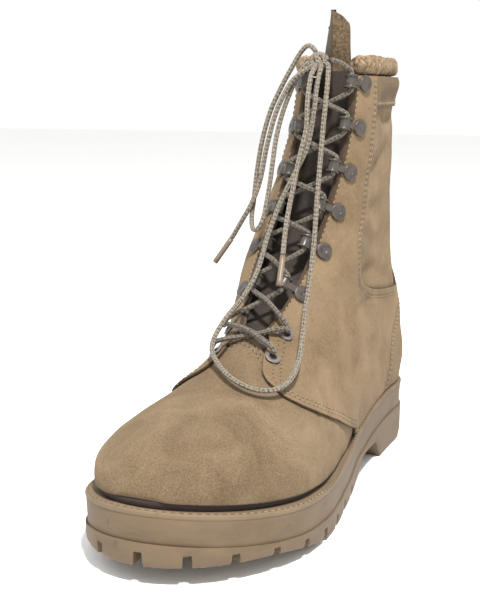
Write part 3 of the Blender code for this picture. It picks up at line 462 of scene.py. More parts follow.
class Curve:
    """Smooth curve through the rows of a table, without overshoot."""

    def __init__(self, positions, values):
        self.x = np.array(list(positions), float)
        self.y = np.array(list(values), float)
        rise = np.diff(self.y) / np.diff(self.x)
        a, b = rise[:-1], rise[1:]
        level = np.where(a * b > 0.0, 2.0 * a * b / np.where(a + b == 0.0, 1.0, a + b), 0.0)
        self.slope = np.concatenate([rise[:1], level, rise[-1:]])

    def __call__(self, x):
        x = np.clip(x, self.x[0], self.x[-1])
        i = np.clip(np.searchsorted(self.x, x, side='right') - 1, 0, len(self.x) - 2)
        h = self.x[i + 1] - self.x[i]
        t = (x - self.x[i]) / h
        start = self.y[i] * (1.0 + 2.0 * t) * (1.0 - t) ** 2 + self.slope[i] * h * t * (1.0 - t) ** 2
        return start + self.y[i + 1] * t * t * (3.0 - 2.0 * t) - self.slope[i + 1] * h * t * t * (1.0 - t)


def curve_of(table, number, scale, first_scale):
    """Curve of one column of a table over its first column."""
    return Curve([row[0] * first_scale for row in table], [row[number] * scale for row in table])


plan_share = curve_of(PLAN, 1, 1.0, SOLE_LENGTH)
plan_shift = curve_of(PLAN, 2, BALL_WIDTH, SOLE_LENGTH)
back_line = curve_of(BACK, 1, SOLE_LENGTH, SHAFT_HEIGHT)
front_line = curve_of(FRONT, 1, SOLE_LENGTH, SHAFT_HEIGHT)
shaft_share = curve_of(SHAFT, 1, SHAFT_WIDTH, SHAFT_HEIGHT)
FRONT_HEIGHTS = np.linspace(FRONT[1][0] * SHAFT_HEIGHT, SHAFT_HEIGHT, 400)
FRONT_STATIONS = front_line(FRONT_HEIGHTS)


def sole_half(s):
    """Half width of the sole's edge, without its round ends."""
    local = HEEL_WIDTH + (BALL_WIDTH - HEEL_WIDTH) * smooth((s / SOLE_LENGTH - 0.25) / 0.35)
    return plan_share(s) * local


def sole_top(s):
    """Height of the welt's upper face."""
    lift = TOE_SPRING * np.clip((s / SOLE_LENGTH - 0.64) / 0.36, 0.0, None) ** 2
    blend = 1.0 - smooth((s / SOLE_LENGTH - 0.20) / 0.33)
    return FORE_HEIGHT + (HEEL_HEIGHT - FORE_HEIGHT) * blend + lift


def feather(s):
    """Height of the upper's lower edge."""
    return sole_top(s) + RAND_BACK + (RAND_TOE - RAND_BACK) * smooth((s / SOLE_LENGTH - 0.42) / 0.40) + GAP


def upper_half(s, z):
    """Half width of the upper's outer face at a station and a height."""
    foot = sole_half(s) * round_end((SOLE_LENGTH - LEDGE - s) / (TOE_ROUND * SOLE_LENGTH)) - LEDGE
    share = z / SHAFT_HEIGHT
    foot = foot + BULGE * np.sin(math.pi * np.clip((z - feather(s)) / (0.16 * SHAFT_HEIGHT), 0.0, 1.0))
    mix = smooth((share - 0.20) / 0.26)
    width = foot * (1.0 - mix) + shaft_share(z) * mix
    width = width * round_end((s - back_line(z)) / ((0.120 - 0.020 * mix) * SOLE_LENGTH))
    vamp_top = np.interp(-s, -FRONT_STATIONS, FRONT_HEIGHTS)
    q = np.clip((z - feather(s)) / (vamp_top - feather(s)), 0.0, 1.0)
    power = 2.3 - 0.5 * smooth((0.80 - s / SOLE_LENGTH) / 0.25)
    over_vamp = np.clip(1.0 - q ** power, 0.0, 1.0) ** (1.0 / power)
    over_vamp = 1.0 - smooth((s / SOLE_LENGTH - 0.385) / 0.045) * (1.0 - over_vamp)
    over_shin = round_end((front_line(z) - s) / (0.115 * SOLE_LENGTH))
    leg = smooth((share - 0.36) / 0.26)
    return np.clip(width, 0.0, None) * (over_vamp * (1.0 - leg) + over_shin * leg)


def upper_middle(s, z):
    """Sideways shift of the upper's middle at a station and a height."""
    share = z / SHAFT_HEIGHT
    mix = smooth((share - 0.20) / 0.30)
    up = smooth((share - 0.42) / 0.58)
    return plan_shift(s) * (1.0 - mix) + up * (SHAFT_LEAN + SHAFT_TWIST * (s - 0.22 * SOLE_LENGTH))


def run_of(points):
    """Length run to each of a line's points."""
    return np.concatenate([[0.0], np.cumsum(np.linalg.norm(np.diff(points, axis=0), axis=1))])


def arc_table(line, low, high):
    """Heights along a side-view line and the share of its length run to each."""
    heights = np.linspace(low, high, 400)
    run = run_of(np.stack([heights, line(heights)], 1))
    return heights, run / run[-1]


TOE_FOOT = FRONT[0][1] * SOLE_LENGTH
HEEL_FOOT = BACK[0][1] * SOLE_LENGTH
BACK_HEIGHTS, BACK_RUN = arc_table(back_line, float(feather(HEEL_FOOT)), SHAFT_HEIGHT)
FRONT_ARC_HEIGHTS, FRONT_RUN = arc_table(front_line, float(feather(TOE_FOOT)), SHAFT_HEIGHT)
LAST_ROWS = 240
LAST_COLUMNS = 150


def last_row(v):
    """Even points of one row on the lateral and the medial side, front to back, and their lengths."""
    back_z = float(np.interp(v, BACK_RUN, BACK_HEIGHTS))
    front_z = float(np.interp(v ** 1.3, FRONT_RUN, FRONT_ARC_HEIGHTS))
    back_s, front_s = float(back_line(back_z)), float(front_line(front_z))
    foot_z, toe_z = BACK_HEIGHTS[0], FRONT_ARC_HEIGHTS[0]
    foot_s, toe_s = float(back_line(foot_z)), float(front_line(toe_z))
    t = 0.5 - 0.5 * np.cos(math.pi * np.arange(361) / 360)
    s = front_s + (back_s - front_s) * t
    z = front_z + (back_z - front_z) * t
    straight = foot_z + (toe_z - foot_z) * (s - foot_s) / (toe_s - foot_s)
    z = z + max(0.0, 1.0 - v / 0.30) ** 2 * (feather(s) - straight)
    half = upper_half(s, z)
    half[0] = half[-1] = 0.0
    middle = upper_middle(s, z)
    sides = []
    for side in (1, -1):
        points = np.stack([middle + side * half, HEEL_REST - s, z], 1)
        run = run_of(points)
        even = np.linspace(0.0, run[-1], LAST_COLUMNS + 1)
        sides.append((np.stack([np.interp(even, run, points[:, k]) for k in range(3)], 1), run[-1]))
    return sides


last_points = np.zeros((LAST_ROWS + 1, 2 * LAST_COLUMNS + 1, 3))
last_length = np.zeros((LAST_ROWS + 1, 2))
for i in range(LAST_ROWS + 1):
    (outer, outer_run), (inner, inner_run) = last_row(i / LAST_ROWS)
    last_points[i, LAST_COLUMNS:] = outer
    last_points[i, :LAST_COLUMNS + 1] = inner[::-1]
    last_length[i] = outer_run, inner_run
wrapped = np.concatenate([last_points[:, -2:-1], last_points, last_points[:, 1:2]], 1)
along = wrapped[:, 2:] - wrapped[:, :-2]
up = np.gradient(last_points, axis=0)
last_normals = np.cross(along, up)
last_normals /= np.linalg.norm(last_normals, axis=2, keepdims=True) + 1e-12


def blend_of(table, v, d):
    """Value of a table of the last at rows v and distances d round from the front middle."""
    r = np.clip(v, 0.0, 1.0) * LAST_ROWS
    i = np.clip(r.astype(int), 0, LAST_ROWS - 1)
    f = r - i
    side = (d < 0.0).astype(int)
    length = last_length[i, side] * (1.0 - f) + last_length[i + 1, side] * f
    c = np.clip(LAST_COLUMNS + LAST_COLUMNS * d / length, 0.0, 2.0 * LAST_COLUMNS)
    j = np.clip(c.astype(int), 0, 2 * LAST_COLUMNS - 1)
    g = (c - j)[:, None]
    f = f[:, None]
    low = table[i, j] * (1.0 - g) + table[i, j + 1] * g
    high = table[i + 1, j] * (1.0 - g) + table[i + 1, j + 1] * g
    return low * (1.0 - f) + high * f


def on_last(v, d):
    """Points and outward normals of the bare last."""
    v, d = np.atleast_1d(np.asarray(v, float)), np.atleast_1d(np.asarray(d, float))
    normals = blend_of(last_normals, v, d)
    normals /= np.linalg.norm(normals, axis=1, keepdims=True)
    return blend_of(last_points, v, d), normals


def side_run(v, side):
    """Distance round one side, from the front middle to the back middle."""
    return np.interp(v, np.linspace(0.0, 1.0, LAST_ROWS + 1), last_length[:, 0 if side > 0 else 1])


def throat_half(v):
    """Half width of the throat's opening, round the row."""
    return THROAT_HALF * (0.36 + 0.64 * round_end(((v - THROAT_START) * 20.0 + 0.1) / 3.2))


def side_view(pairs, side):
    """Rows and distances on one side of side-view places, each a station and a height in metres."""
    targets = np.array([(HEEL_REST - s, z) for s, z in pairs])
    share = slice(LAST_COLUMNS, None) if side > 0 else slice(0, LAST_COLUMNS + 1)
    flat = last_points[::4, share][:, ::3, 1:].reshape(-1, 2)
    rows = np.linspace(0.0, 1.0, LAST_ROWS + 1)[::4]
    shares = np.linspace(-1.0, 1.0, 2 * LAST_COLUMNS + 1)[share][::3]
    nearest = np.array([int(np.argmin(((flat - target) ** 2).sum(1))) for target in targets])
    v = rows[nearest // len(shares)]
    d = shares[nearest % len(shares)] * side_run(v, side)
    for _ in range(12):
        here = blend_of(last_points, v, d)[:, 1:]
        v_to = np.where(v + 0.004 > 1.0, v - 0.004, v + 0.004)
        dv = (blend_of(last_points, v_to, d)[:, 1:] - here) / (v_to - v)[:, None]
        d_to = np.where(side * d + 0.001 > side_run(v, side), d - side * 0.001, d + side * 0.001)
        dd = (blend_of(last_points, v, d_to)[:, 1:] - here) / (d_to - d)[:, None]
        gap = targets - here
        aa, bb, ab = (dv * dv).sum(1), (dd * dd).sum(1), (dv * dd).sum(1)
        ga, gb = (dv * gap).sum(1), (dd * gap).sum(1)
        det = aa * bb - ab * ab + 1e-14
        v = np.clip(v + 0.8 * np.clip((ga * bb - gb * ab) / det, -0.03, 0.03), 0.0, 1.0)
        d = d + 0.8 * np.clip((gb * aa - ga * ab) / det, -0.008, 0.008)
        d = side * np.clip(side * d, 1e-6, side_run(v, side))
    return v, d


def fine_edge(table, steps=8):
    """Smooth side-view line through a table of station and height shares."""
    t = np.arange((len(table) - 1) * steps + 1) / steps
    row = range(len(table))
    scales = (SOLE_LENGTH, SHAFT_HEIGHT)
    return np.stack([Curve(row, [pair[k] * scales[k] for pair in table])(t) for k in (0, 1)], 1)


# Creases of the leather
# Worn folds across the vamp's root, at the ankle and in the shaft, where the hide bends with the foot.
# Each row is a side, a width, a depth and the stations and heights of its line, in millimetres.
CREASES = (
    # side   width depth  line
    (1, 11.0, 3.4, ((118, 189), (98, 194), (80, 200), (56, 208))),
    (1, 6.0, 2.2, ((88, 232), (78, 226), (62, 227), (40, 229))),
    (1, 8.0, 1.6, ((120, 160), (104, 150), (88, 146), (66, 150))),
    (1, 5.0, 1.1, ((232, 78), (222, 88), (212, 94), (204, 97))),
    (1, 6.0, 0.9, ((214, 62), (208, 74), (200, 84))),
    (-1, 5.0, 1.1, ((232, 78), (222, 88), (212, 94), (204, 97))),
    (1, 9.0, 1.6, ((110, 172), (92, 168), (72, 170))),
    (-1, 9.0, 2.0, ((122, 190), (100, 182), (76, 180))),
    (1, 8.0, 2.0, ((128, 122), (108, 128), (86, 128), (60, 120))),
    (1, 7.0, 1.8, ((140, 104), (120, 108), (96, 112), (70, 106))),
    (-1, 8.0, 2.0, ((128, 122), (108, 128), (86, 128), (60, 120))),
    (-1, 7.0, 1.6, ((140, 104), (120, 108), (96, 112), (70, 106))),
    (1, 10.0, -1.2, ((120, 150), (96, 150), (70, 146))),
    (-1, 10.0, -1.2, ((120, 150), (96, 150), (70, 146))),
)


def crease_depth(points, side):
    """How far the leather sinks at each point, in metres, plus inwards."""
    s = (HEEL_REST - points[:, 1]) * 1000.0
    z = points[:, 2] * 1000.0
    depth = np.zeros(len(points))
    for which, width, deep, line in CREASES:
        line = np.array(line, float)
        near = np.full(len(points), 1e9)
        place_on = np.zeros(len(points))
        total = len(line) - 1
        for k in range(total):
            a, b = line[k], line[k + 1]
            span = b - a
            t = np.clip(((s - a[0]) * span[0] + (z - a[1]) * span[1]) / (span @ span), 0.0, 1.0)
            away = np.hypot(s - a[0] - t * span[0], z - a[1] - t * span[1])
            closer = away < near
            near = np.where(closer, away, near)
            place_on = np.where(closer, (k + t) / total, place_on)
        fade = np.clip(np.sin(math.pi * np.clip(place_on * 0.92 + 0.04, 0.0, 1.0)), 0.0, 1.0) ** 0.7
        x = near / width
        depth += np.where(side == which, deep * fade * (1.0 - 0.9 * x * x) * np.exp(-x * x), 0.0)
    return depth * 0.001


def lumps(points, size, height):
    """Gentle unevenness of hide, in metres."""
    return np.array([noise.noise(Vector(p) / size) for p in points]) * height


def on_leather(v, d, lift):
    """Points and normals of a leather layer at a lift over the last, with its creases."""
    points, normals = on_last(v, d)
    side = np.where(np.asarray(d) < 0.0, -1, 1)
    sink = crease_depth(points, side) + lumps(points, 0.020, 0.00060) + lumps(points, 0.007, 0.00016)
    near_throat = smooth((np.abs(d) - 0.030) / 0.014)
    on_vamp = 1.0 - smooth((v - 0.45) / 0.10)
    foot = smooth(v / 0.05)
    sink = sink * np.maximum(near_throat, on_vamp) * foot
    return points + normals * (lift - sink)[:, None], normals


# Upper
# One suede hide, lasted over the form: vamp, ankle and shaft, open at the throat and the collar.
# Its inside is the dark lining.
def hide_finish(name, dark, mid, light, rough, nap, grain, sheen, depth):
    """Suede or smooth hide: soft clouds of colour, a fine nap and a fine relief."""
    look, add, shade = finish_of(name, rough)
    where = add("TexCoord").outputs["Object"]
    cloud = add("TexNoise", Scale=26.0, Detail=7.0, Roughness=0.66, Distortion=0.6, Vector=where)
    fine = add("TexNoise", Scale=nap, Detail=4.0, Roughness=0.7, Vector=where)
    shrunk = add("Math", (cloud, 1.0 - grain), operation='MULTIPLY')
    both = add("Math", (fine, grain, shrunk), operation='MULTIPLY_ADD')
    shade(
        Base_Color=ramp(add, both, (0.36, dark), (0.50, mid), (0.64, light)),
        Normal=add("Bump", Strength=depth, Distance=0.0004, Height=fine),
        Sheen_Weight=sheen, Sheen_Roughness=0.6, Sheen_Tint=(0.90, 0.66, 0.42, 1.0), Specular_IOR_Level=0.16)
    return look


suede = hide_finish(
    "vamp_suede", (0.073, 0.048, 0.027), (0.129, 0.090, 0.052), (0.193, 0.139, 0.085), 0.95, 1150.0, 0.52, 0.12, 0.8)
panel = hide_finish(
    "shaft_leather", (0.104, 0.069, 0.037), (0.156, 0.107, 0.060), (0.200, 0.140, 0.081),
    0.80, 700.0, 0.40, 0.06, 0.4)
cut_edge = hide_finish(
    "cut_edge", (0.022, 0.014, 0.009), (0.048, 0.031, 0.020), (0.090, 0.061, 0.039), 0.98, 1600.0, 0.7, 0.10, 0.9)
lining = hide_finish(
    "dark_lining", (0.012, 0.009, 0.007), (0.021, 0.016, 0.013), (0.033, 0.026, 0.020), 0.92, 900.0, 0.5, 0.05, 0.4)


def walled(made, thick):
    """Give a sheet of leather its thickness inwards, with its second finish inside and the third on its edge."""
    step = made.modifiers.new("Wall", 'SOLIDIFY')
    step.thickness = thick
    step.offset = -1.0
    step.use_even_offset = False
    step.material_offset = 1
    step.material_offset_rim = 2
    return step


UPPER_ROWS = 170
UPPER_SIDES = 92
UPPER_THROAT = 8
grid_v = np.linspace(0.0, 1.0, UPPER_ROWS + 1)
throat_row = int(round(THROAT_START * UPPER_ROWS))
part = np.concatenate([
    np.arange(UPPER_THROAT) / UPPER_THROAT,
    1.0 + np.arange(UPPER_SIDES + 1) / UPPER_SIDES])
all_v, all_d = [], []
for v in grid_v:
    half = float(throat_half(v))
    for side in (1, -1):
        total = float(side_run(v, side))
        away = np.where(part <= 1.0, half * part, half + (total - half) * (part - 1.0))
        away = away if side > 0 else away[::-1][1:-1]
        all_v.append(np.full(len(away), v))
        all_d.append(side * np.maximum(away, 1e-7))
points, normals = on_leather(np.concatenate(all_v), np.concatenate(all_d), 0.0)
round_count = 2 * (UPPER_THROAT + UPPER_SIDES)
faces = [face for n, face in enumerate(between_rows(UPPER_ROWS + 1, round_count))
         if n // round_count < throat_row or UPPER_THROAT <= n % round_count < round_count - UPPER_THROAT]
mesh = mesh_of("upper_leather", points, faces)
work = bmesh.new()
work.from_mesh(mesh)
upper_at = zip(np.concatenate(all_v), np.concatenate(all_d))
upper_at = [at for at, p in zip(upper_at, work.verts) if p.link_faces]
bmesh.ops.delete(work, geom=[p for p in work.verts if not p.link_faces], context='VERTS')
upper = place("upper_leather", to_mesh(work, mesh), (suede, lining, cut_edge), "suede", "upper")
walled(upper, WALL)


# Quarters, counter and collar band
# Second layer of leather: a quarter with its eyestay on each side, a counter with its backstay round the heel,
# and a padded band under the collar roll. Each is stitched down near its edges and shows its thick cut edge.
QUARTER_EDGE = (
    # station height
    (0.600, 0.460), (0.606, 0.425), (0.615, 0.405), (0.630, 0.390), (0.647, 0.378),
    (0.672, 0.360), (0.695, 0.343), (0.707, 0.327), (0.709, 0.308), (0.693, 0.285),
    (0.630, 0.241), (0.526, 0.184), (0.455, 0.150), (0.420, 0.090),
)
EYESTAY_EDGE = (
    # station height
    (0.322, 1.050), (0.326, 0.920), (0.336, 0.800), (0.352, 0.690), (0.368, 0.600),
    (0.366, 0.530), (0.330, 0.480), (0.250, 0.452), (0.160, 0.440), (0.060, 0.436),
)
COUNTER_EDGE = (
    # station height
    (0.235, 0.100), (0.225, 0.200), (0.190, 0.290), (0.135, 0.360),
    (0.092, 0.430), (0.082, 0.560), (0.078, 0.750), (0.066, 0.930),
)
BAND_HEIGHT = 0.019
BAND_THICK = 0.0026
PARAM_HEIGHT = 0.30
RAW_EDGE = 0.0026


def inside(outline, s, z):
    """Which side-view points lie inside a closed outline."""
    outline = np.asarray(outline)
    hit = np.zeros(len(s), bool)
    for (s0, z0), (s1, z1) in zip(outline, np.roll(outline, -1, axis=0)):
        crosses = (z0 > z) != (z1 > z)
        with np.errstate(divide='ignore', invalid='ignore'):
            at = s0 + (z - z0) * (s1 - s0) / (z1 - z0)
        hit ^= crosses & (s < at)
    return hit


def layer(name, node, outline, edges, thick, looks, slot="suede", sides=(1, -1), spacing=0.0022, wall=0.0):
    """Layer of leather cut to a side-view outline, with its edges as exact lines of the mesh."""
    joined = bmesh.new()
    for side in sides:
        lines = [np.stack(side_view(edge, side), 1) for edge in edges]
        rows = np.linspace(THROAT_START, 1.0, 130)
        lines.append(np.stack([rows, side * throat_half(rows)], 1))
        lines.append(np.stack([rows, side * (throat_half(rows) + RAW_EDGE)], 1))
        seam = np.linspace(0.0, 1.0, 150)
        lines.append(np.stack([seam, side * (side_run(seam, side) - 1e-6)], 1))
        for level in (0.0, 1.0):
            steps = np.linspace(0.0, 1.0, 190)
            lines.append(np.stack([np.full(190, level), side * (1e-6 + steps * (side_run(level, side) - 2e-6))], 1))
        flat, links = [], []
        for line in lines:
            first = len(flat)
            flat += [(d, v * PARAM_HEIGHT) for v, d in line]
            links += [(first + k, first + k + 1) for k in range(len(line) - 1)]
        wide = float(last_length.max())
        across = np.arange(0.0, wide, spacing)
        levels = np.arange(0.0, PARAM_HEIGHT, spacing * 0.86)
        field = np.array([(side * (x + (k % 2) * spacing / 2), y) for k, y in enumerate(levels) for x in across])
        field = field[np.abs(field[:, 0]) < side_run(field[:, 1] / PARAM_HEIGHT, side) - spacing * 0.4]
        edge_points = np.array(flat)
        free = [min(((edge_points - p) ** 2).sum(1)) > (0.55 * spacing) ** 2 for p in field]
        flat += [tuple(p) for p in field[np.array(free)]]
        result = geometry.delaunay_2d_cdt([Vector(p) for p in flat], links, [], 0, 1e-7)
        spots = np.array([tuple(p) for p in result[0]])
        d, v = spots[:, 0], np.clip(spots[:, 1] / PARAM_HEIGHT, 0.0, 1.0)
        triangles = np.array([f for f in result[2] if len(f) == 3])
        mid_d, mid_v = d[triangles].mean(1), v[triangles].mean(1)
        centre, _ = on_last(mid_v, mid_d)
        kept = inside(outline, HEEL_REST - centre[:, 1], centre[:, 2])
        kept &= (mid_v < THROAT_START) | (np.abs(mid_d) > throat_half(mid_v))
        kept &= (side * mid_d > 0.0) & (np.abs(mid_d) < side_run(mid_v, side))
        raised = thick(on_last(v, d)[0]) if callable(thick) else thick
        points, _ = on_leather(v, d, LAYER_GAP + raised)
        used = {}
        for triangle in triangles[kept]:
            for k in triangle:
                if k not in used:
                    used[k] = joined.verts.new(points[k])
            corners = [used[k] for k in triangle]
            if joined.faces.get(corners) is None:
                at_throat = max(abs(d[k]) - throat_half(v[k]) for k in triangle) < RAW_EDGE + 0.0001
                at_throat = at_throat and min(v[k] for k in triangle) > THROAT_START
                joined.faces.new(corners).material_index = 2 if at_throat else 0
    bmesh.ops.remove_doubles(joined, verts=joined.verts, dist=0.0002)
    mesh = bpy.data.meshes.new(name)
    for face in joined.faces:
        face.smooth = True
    joined.normal_update()
    middle = Vector((0.0, -0.05, 0.12))
    outward = sum((f.normal.dot(f.calc_center_median() - middle) > 0) * 2 - 1 for f in joined.faces)
    if outward < 0:
        bmesh.ops.reverse_faces(joined, faces=joined.faces[:])
    walled(place(name, to_mesh(joined, mesh), looks, slot, node), wall or thick)


front_edge = fine_edge(QUARTER_EDGE)
rear_edge = fine_edge(EYESTAY_EDGE)
counter_edge = fine_edge(COUNTER_EDGE)
counter_shifted = counter_edge + np.array([GAP * 2.0, 0.0])
counter_part = counter_shifted[counter_shifted[:, 1] < rear_edge[-1][1] - 0.004]
rear_part = rear_edge[rear_edge[:, 0] > counter_part[-1][0] + 0.004]
quarter_outline = np.concatenate([
    [(0.80 * SOLE_LENGTH, 0.44 * SHAFT_HEIGHT), (0.80 * SOLE_LENGTH, 1.05 * SHAFT_HEIGHT)],
    rear_part, counter_part[::-1], front_edge[::-1]])
seen_front = front_edge[front_edge[:, 0] < front_line(front_edge[:, 1]) + 0.002]
for word, side in (("lateral", 1), ("medial", -1)):
    layer(
        f"quarter_{word}_leather", f"quarter_{word}", quarter_outline, (seen_front, rear_part, counter_part),
        LAYER, (panel, lining, cut_edge), sides=(side,))

counter_top = SHAFT_HEIGHT - BAND_HEIGHT - 2.0 * GAP
part = counter_edge[counter_edge[:, 1] < counter_top]
top_line = np.array([(s, counter_top) for s in np.linspace(part[-1][0], 0.0, 30)])
counter_outline = np.concatenate([part, top_line, [(-0.02, counter_top), (-0.02, part[0][1])]])
layer("counter_leather", "counter", counter_outline, (part, top_line), LAYER, (suede, lining, cut_edge))


def band_rise(points):
    """Padding of the band over the leather: flat at its stitched foot and front, and full under the roll."""
    up = (points[:, 2] - band_low) / BAND_HEIGHT
    from_front = np.interp(points[:, 2], rear_edge[::-1, 1], rear_edge[::-1, 0]) - (HEEL_REST - points[:, 1])
    full = smooth((up - 0.16) / 0.60) * (1.0 - 0.35 * smooth((up - 0.82) / 0.18)) * smooth(from_front / 0.014)
    return 0.0010 + (BAND_THICK - 0.0002) * full


band_low = SHAFT_HEIGHT - BAND_HEIGHT
band_front = rear_edge[rear_edge[:, 1] > band_low] - np.array([GAP, 0.0])
low_line = np.array([(s, band_low) for s in np.linspace(band_front[-1][0], 0.0, 60)])
band_outline = np.concatenate([band_front, low_line, [(-0.02, band_low), (-0.02, 0.29)], [(band_front[0][0], 0.29)]])
mid_line = low_line + np.array([0.0, 0.0045])
# The band's leather is painted darker than the shaft's: painted shade under the collar roll.
band_painted_shade = hide_finish(
    "band_leather", (0.066, 0.044, 0.023), (0.104, 0.071, 0.038), (0.140, 0.097, 0.053), 0.80, 700.0, 0.40, 0.05, 0.4)
layer(
    "collar_band_leather", "collar_band", band_outline, (band_front, low_line, mid_line), band_rise,
    (band_painted_shade, lining, cut_edge), "smooth_leather", spacing=0.0016, wall=0.0009)


# Stitching
# Tan thread, in double rows inside the edges of the quarters, eyestays, counter and vamp root,
# in a zigzag at the foot of the collar band, and in one row round the welt's ledge.
thread = hide_finish(
    "thread", (0.120, 0.086, 0.054), (0.190, 0.142, 0.094), (0.260, 0.200, 0.135), 0.7, 1800.0, 0.5, 0.10, 0.5)
# Needle holes are small discs in a near-black finish: painted shade in the holes, and in the eyelets' bores.
hole_shade = hide_finish(
    "hole_shade", (0.020, 0.013, 0.009), (0.032, 0.022, 0.015), (0.045, 0.031, 0.022), 0.98, 900.0, 0.5, 0.05, 0.3)


STITCH_LENGTH = 0.0026
STITCH_GAP = 0.0010
HOLE_RADIUS = 0.00042
HOLE_LIFT = 0.00007
ROW_OFFSETS = (0.0028, 0.0052)


def beside(line, away):
    """Side-view line moved sideways, plus to the left of its run."""
    ahead = np.gradient(line, axis=0)
    ahead /= np.linalg.norm(ahead, axis=1, keepdims=True) + 1e-12
    return line + np.stack([-ahead[:, 1], ahead[:, 0]], 1) * away


def even_stitches(points, normals, length=STITCH_LENGTH, gap=STITCH_GAP):
    """Ends and normals of even stitches along a row of points."""
    run = run_of(points)
    made = []
    for k in range(int((run[-1] + gap) / (length + gap))):
        ends = np.array([k * (length + gap), k * (length + gap) + length])
        spots = np.stack([np.interp(ends, run, points[:, n]) for n in range(3)], 1)
        out = np.array([np.interp(ends.mean(), run, normals[:, n]) for n in range(3)])
        made.append((spots[0], spots[1], out / np.linalg.norm(out)))
    return made


def sewn(name, stitches, thick=0.00085):
    """Short threads, each dipping at both ends into a needle hole, a small disc painted dark as the hole's shade."""
    turns = [(math.cos(math.pi * n / 3), math.sin(math.pi * n / 3)) for n in range(6)]
    points, faces, kinds = [], [], []
    for a, b, out in stitches:
        ahead = (b - a) / (np.linalg.norm(b - a) + 1e-12)
        across = np.cross(out, ahead)
        faces += between_rows(4, 6, len(points))
        for share, wide, high in ((0.0, 0.40, -0.25), (0.22, 1.0, 0.16), (0.78, 1.0, 0.16), (1.0, 0.40, -0.25)):
            centre = a + (b - a) * share + out * (high * thick)
            points += [centre + (across * x + out * y) * (wide * thick / 2) for x, y in turns]
        for end in (a, b):
            faces.append(tuple(range(len(points), len(points) + 6)))
            points += [end + out * HOLE_LIFT + (across * x + ahead * y) * HOLE_RADIUS for x, y in turns]
        kinds += [0] * 18 + [1] * 2
    mesh = mesh_of(name, points, faces)
    mesh.polygons.foreach_set("material_index", kinds)
    place(name, mesh, (thread, hole_shade), "suede")


def sewn_row(line, side):
    """Stitches along a side-view line on a leather layer."""
    v, d = side_view(line, side)
    kept = (v < THROAT_START) | (np.abs(d) > throat_half(v) + 0.0015)
    return even_stitches(*on_leather(v[kept], d[kept], on_layer))


on_layer = LAYER_GAP + LAYER
for word, side in (("lateral", 1), ("medial", -1)):
    stitches = []
    for away in ROW_OFFSETS:
        row = beside(front_edge, -away)
        stitches += sewn_row(row[row[:, 0] < front_line(row[:, 1]) - 0.001], side)
        row = beside(rear_edge, away)
        row = row[(row[:, 1] < SHAFT_HEIGHT - 0.001) & (row[:, 0] > counter_part[-1][0] + 0.012)]
        stitches += sewn_row(row, side)
    rows = np.linspace(THROAT_START + 0.03, 0.985, 120)
    stitches += even_stitches(*on_leather(rows, side * (throat_half(rows) + 0.0030), on_layer))
    sewn(f"quarter_{word}_stitches", stitches)

stitches = []
for side in (1, -1):
    for away in ROW_OFFSETS:
        row = beside(counter_edge, away)
        row = row[(row[:, 1] < counter_top - 0.002) & (row[:, 1] > feather(row[:, 0]) + 0.001)]
        stitches += sewn_row(row, side)
sewn("counter_stitches", stitches)

stitches = []
for side in (1, -1):
    stations = np.arange(float(band_front[-1][0]) - 0.002, 0.026, -0.0021)
    heights = band_low + 0.0010 + 0.0022 * (np.arange(len(stations)) % 2)
    v, d = side_view(np.stack([stations, heights], 1), side)
    points, normals = on_leather(v, d, LAYER_GAP + 0.0009)
    stitches += [(points[k], points[k + 1], normals[k]) for k in range(len(points) - 1)]
sewn("band_stitches", stitches, 0.0006)

arch = Curve((-0.046, -0.0356, -0.0235, -0.0112, -0.0062, -0.0015, 0.0079, 0.0148, 0.0240, 0.0340),
             (0.385, 0.425, 0.468, 0.508, 0.530, 0.530, 0.508, 0.478, 0.446, 0.410))
stitches = []
across_vamp = np.linspace(-0.046, 0.034, 90)
for down in (0.0, 0.010):
    stitches += even_stitches(*on_leather(arch(across_vamp) - down, across_vamp, 0.0))
sewn("vamp_root_stitches", stitches)
root_edge = np.linspace(-0.034, 0.020, 60)
points, _ = on_leather(arch(root_edge) + 0.006, root_edge, -0.0002)
lace_tube("vamp_root_edge", [Vector(p) for p in points], 0.0024, suede, "suede")
gusset = hide_finish(
    "gusset_cloth", (0.045, 0.035, 0.028), (0.078, 0.062, 0.050), (0.110, 0.090, 0.073), 0.90, 900.0, 0.5, 0.10, 0.6)
across = np.linspace(-0.019, 0.016, 50)
points, _ = on_leather(arch(across) + 0.020, across, 0.0)
lace_tube("vamp_gusset_fold", [Vector(p) for p in points], 0.0058, gusset, "suede")
upper.data.materials.append(gusset)
for face in upper.data.polygons:
    spots = [upper_at[upper.data.vertices[k].index] for k in face.vertices]
    if all(0.006 + arch(x) < v < 0.62 and -0.022 < x < 0.018 for v, x in spots):
        face.material_index = 3

ROW_INSET = LEDGE * 0.45
share = np.linspace(0.0, 1.0, 700)
station = SOLE_LENGTH - ROW_INSET - (SOLE_LENGTH * 0.74) * share ** 2
toe_share = (SOLE_LENGTH - ROW_INSET - station) / (TOE_ROUND * SOLE_LENGTH)
half = sole_half(station) * round_end(toe_share) - ROW_INSET * share
middle = plan_shift(station)
stitches = []
for side in (1, -1):
    ledge = np.stack([middle + side * np.maximum(half, 0.0), HEEL_REST - station, sole_top(station) + 0.00004], 1)
    upward = np.tile((0.0, 0.0, 1.0), (len(ledge), 1))
    stitches += even_stitches(ledge, upward, 0.0030, 0.0014)
sewn("welt_stitches", stitches, 0.00075)


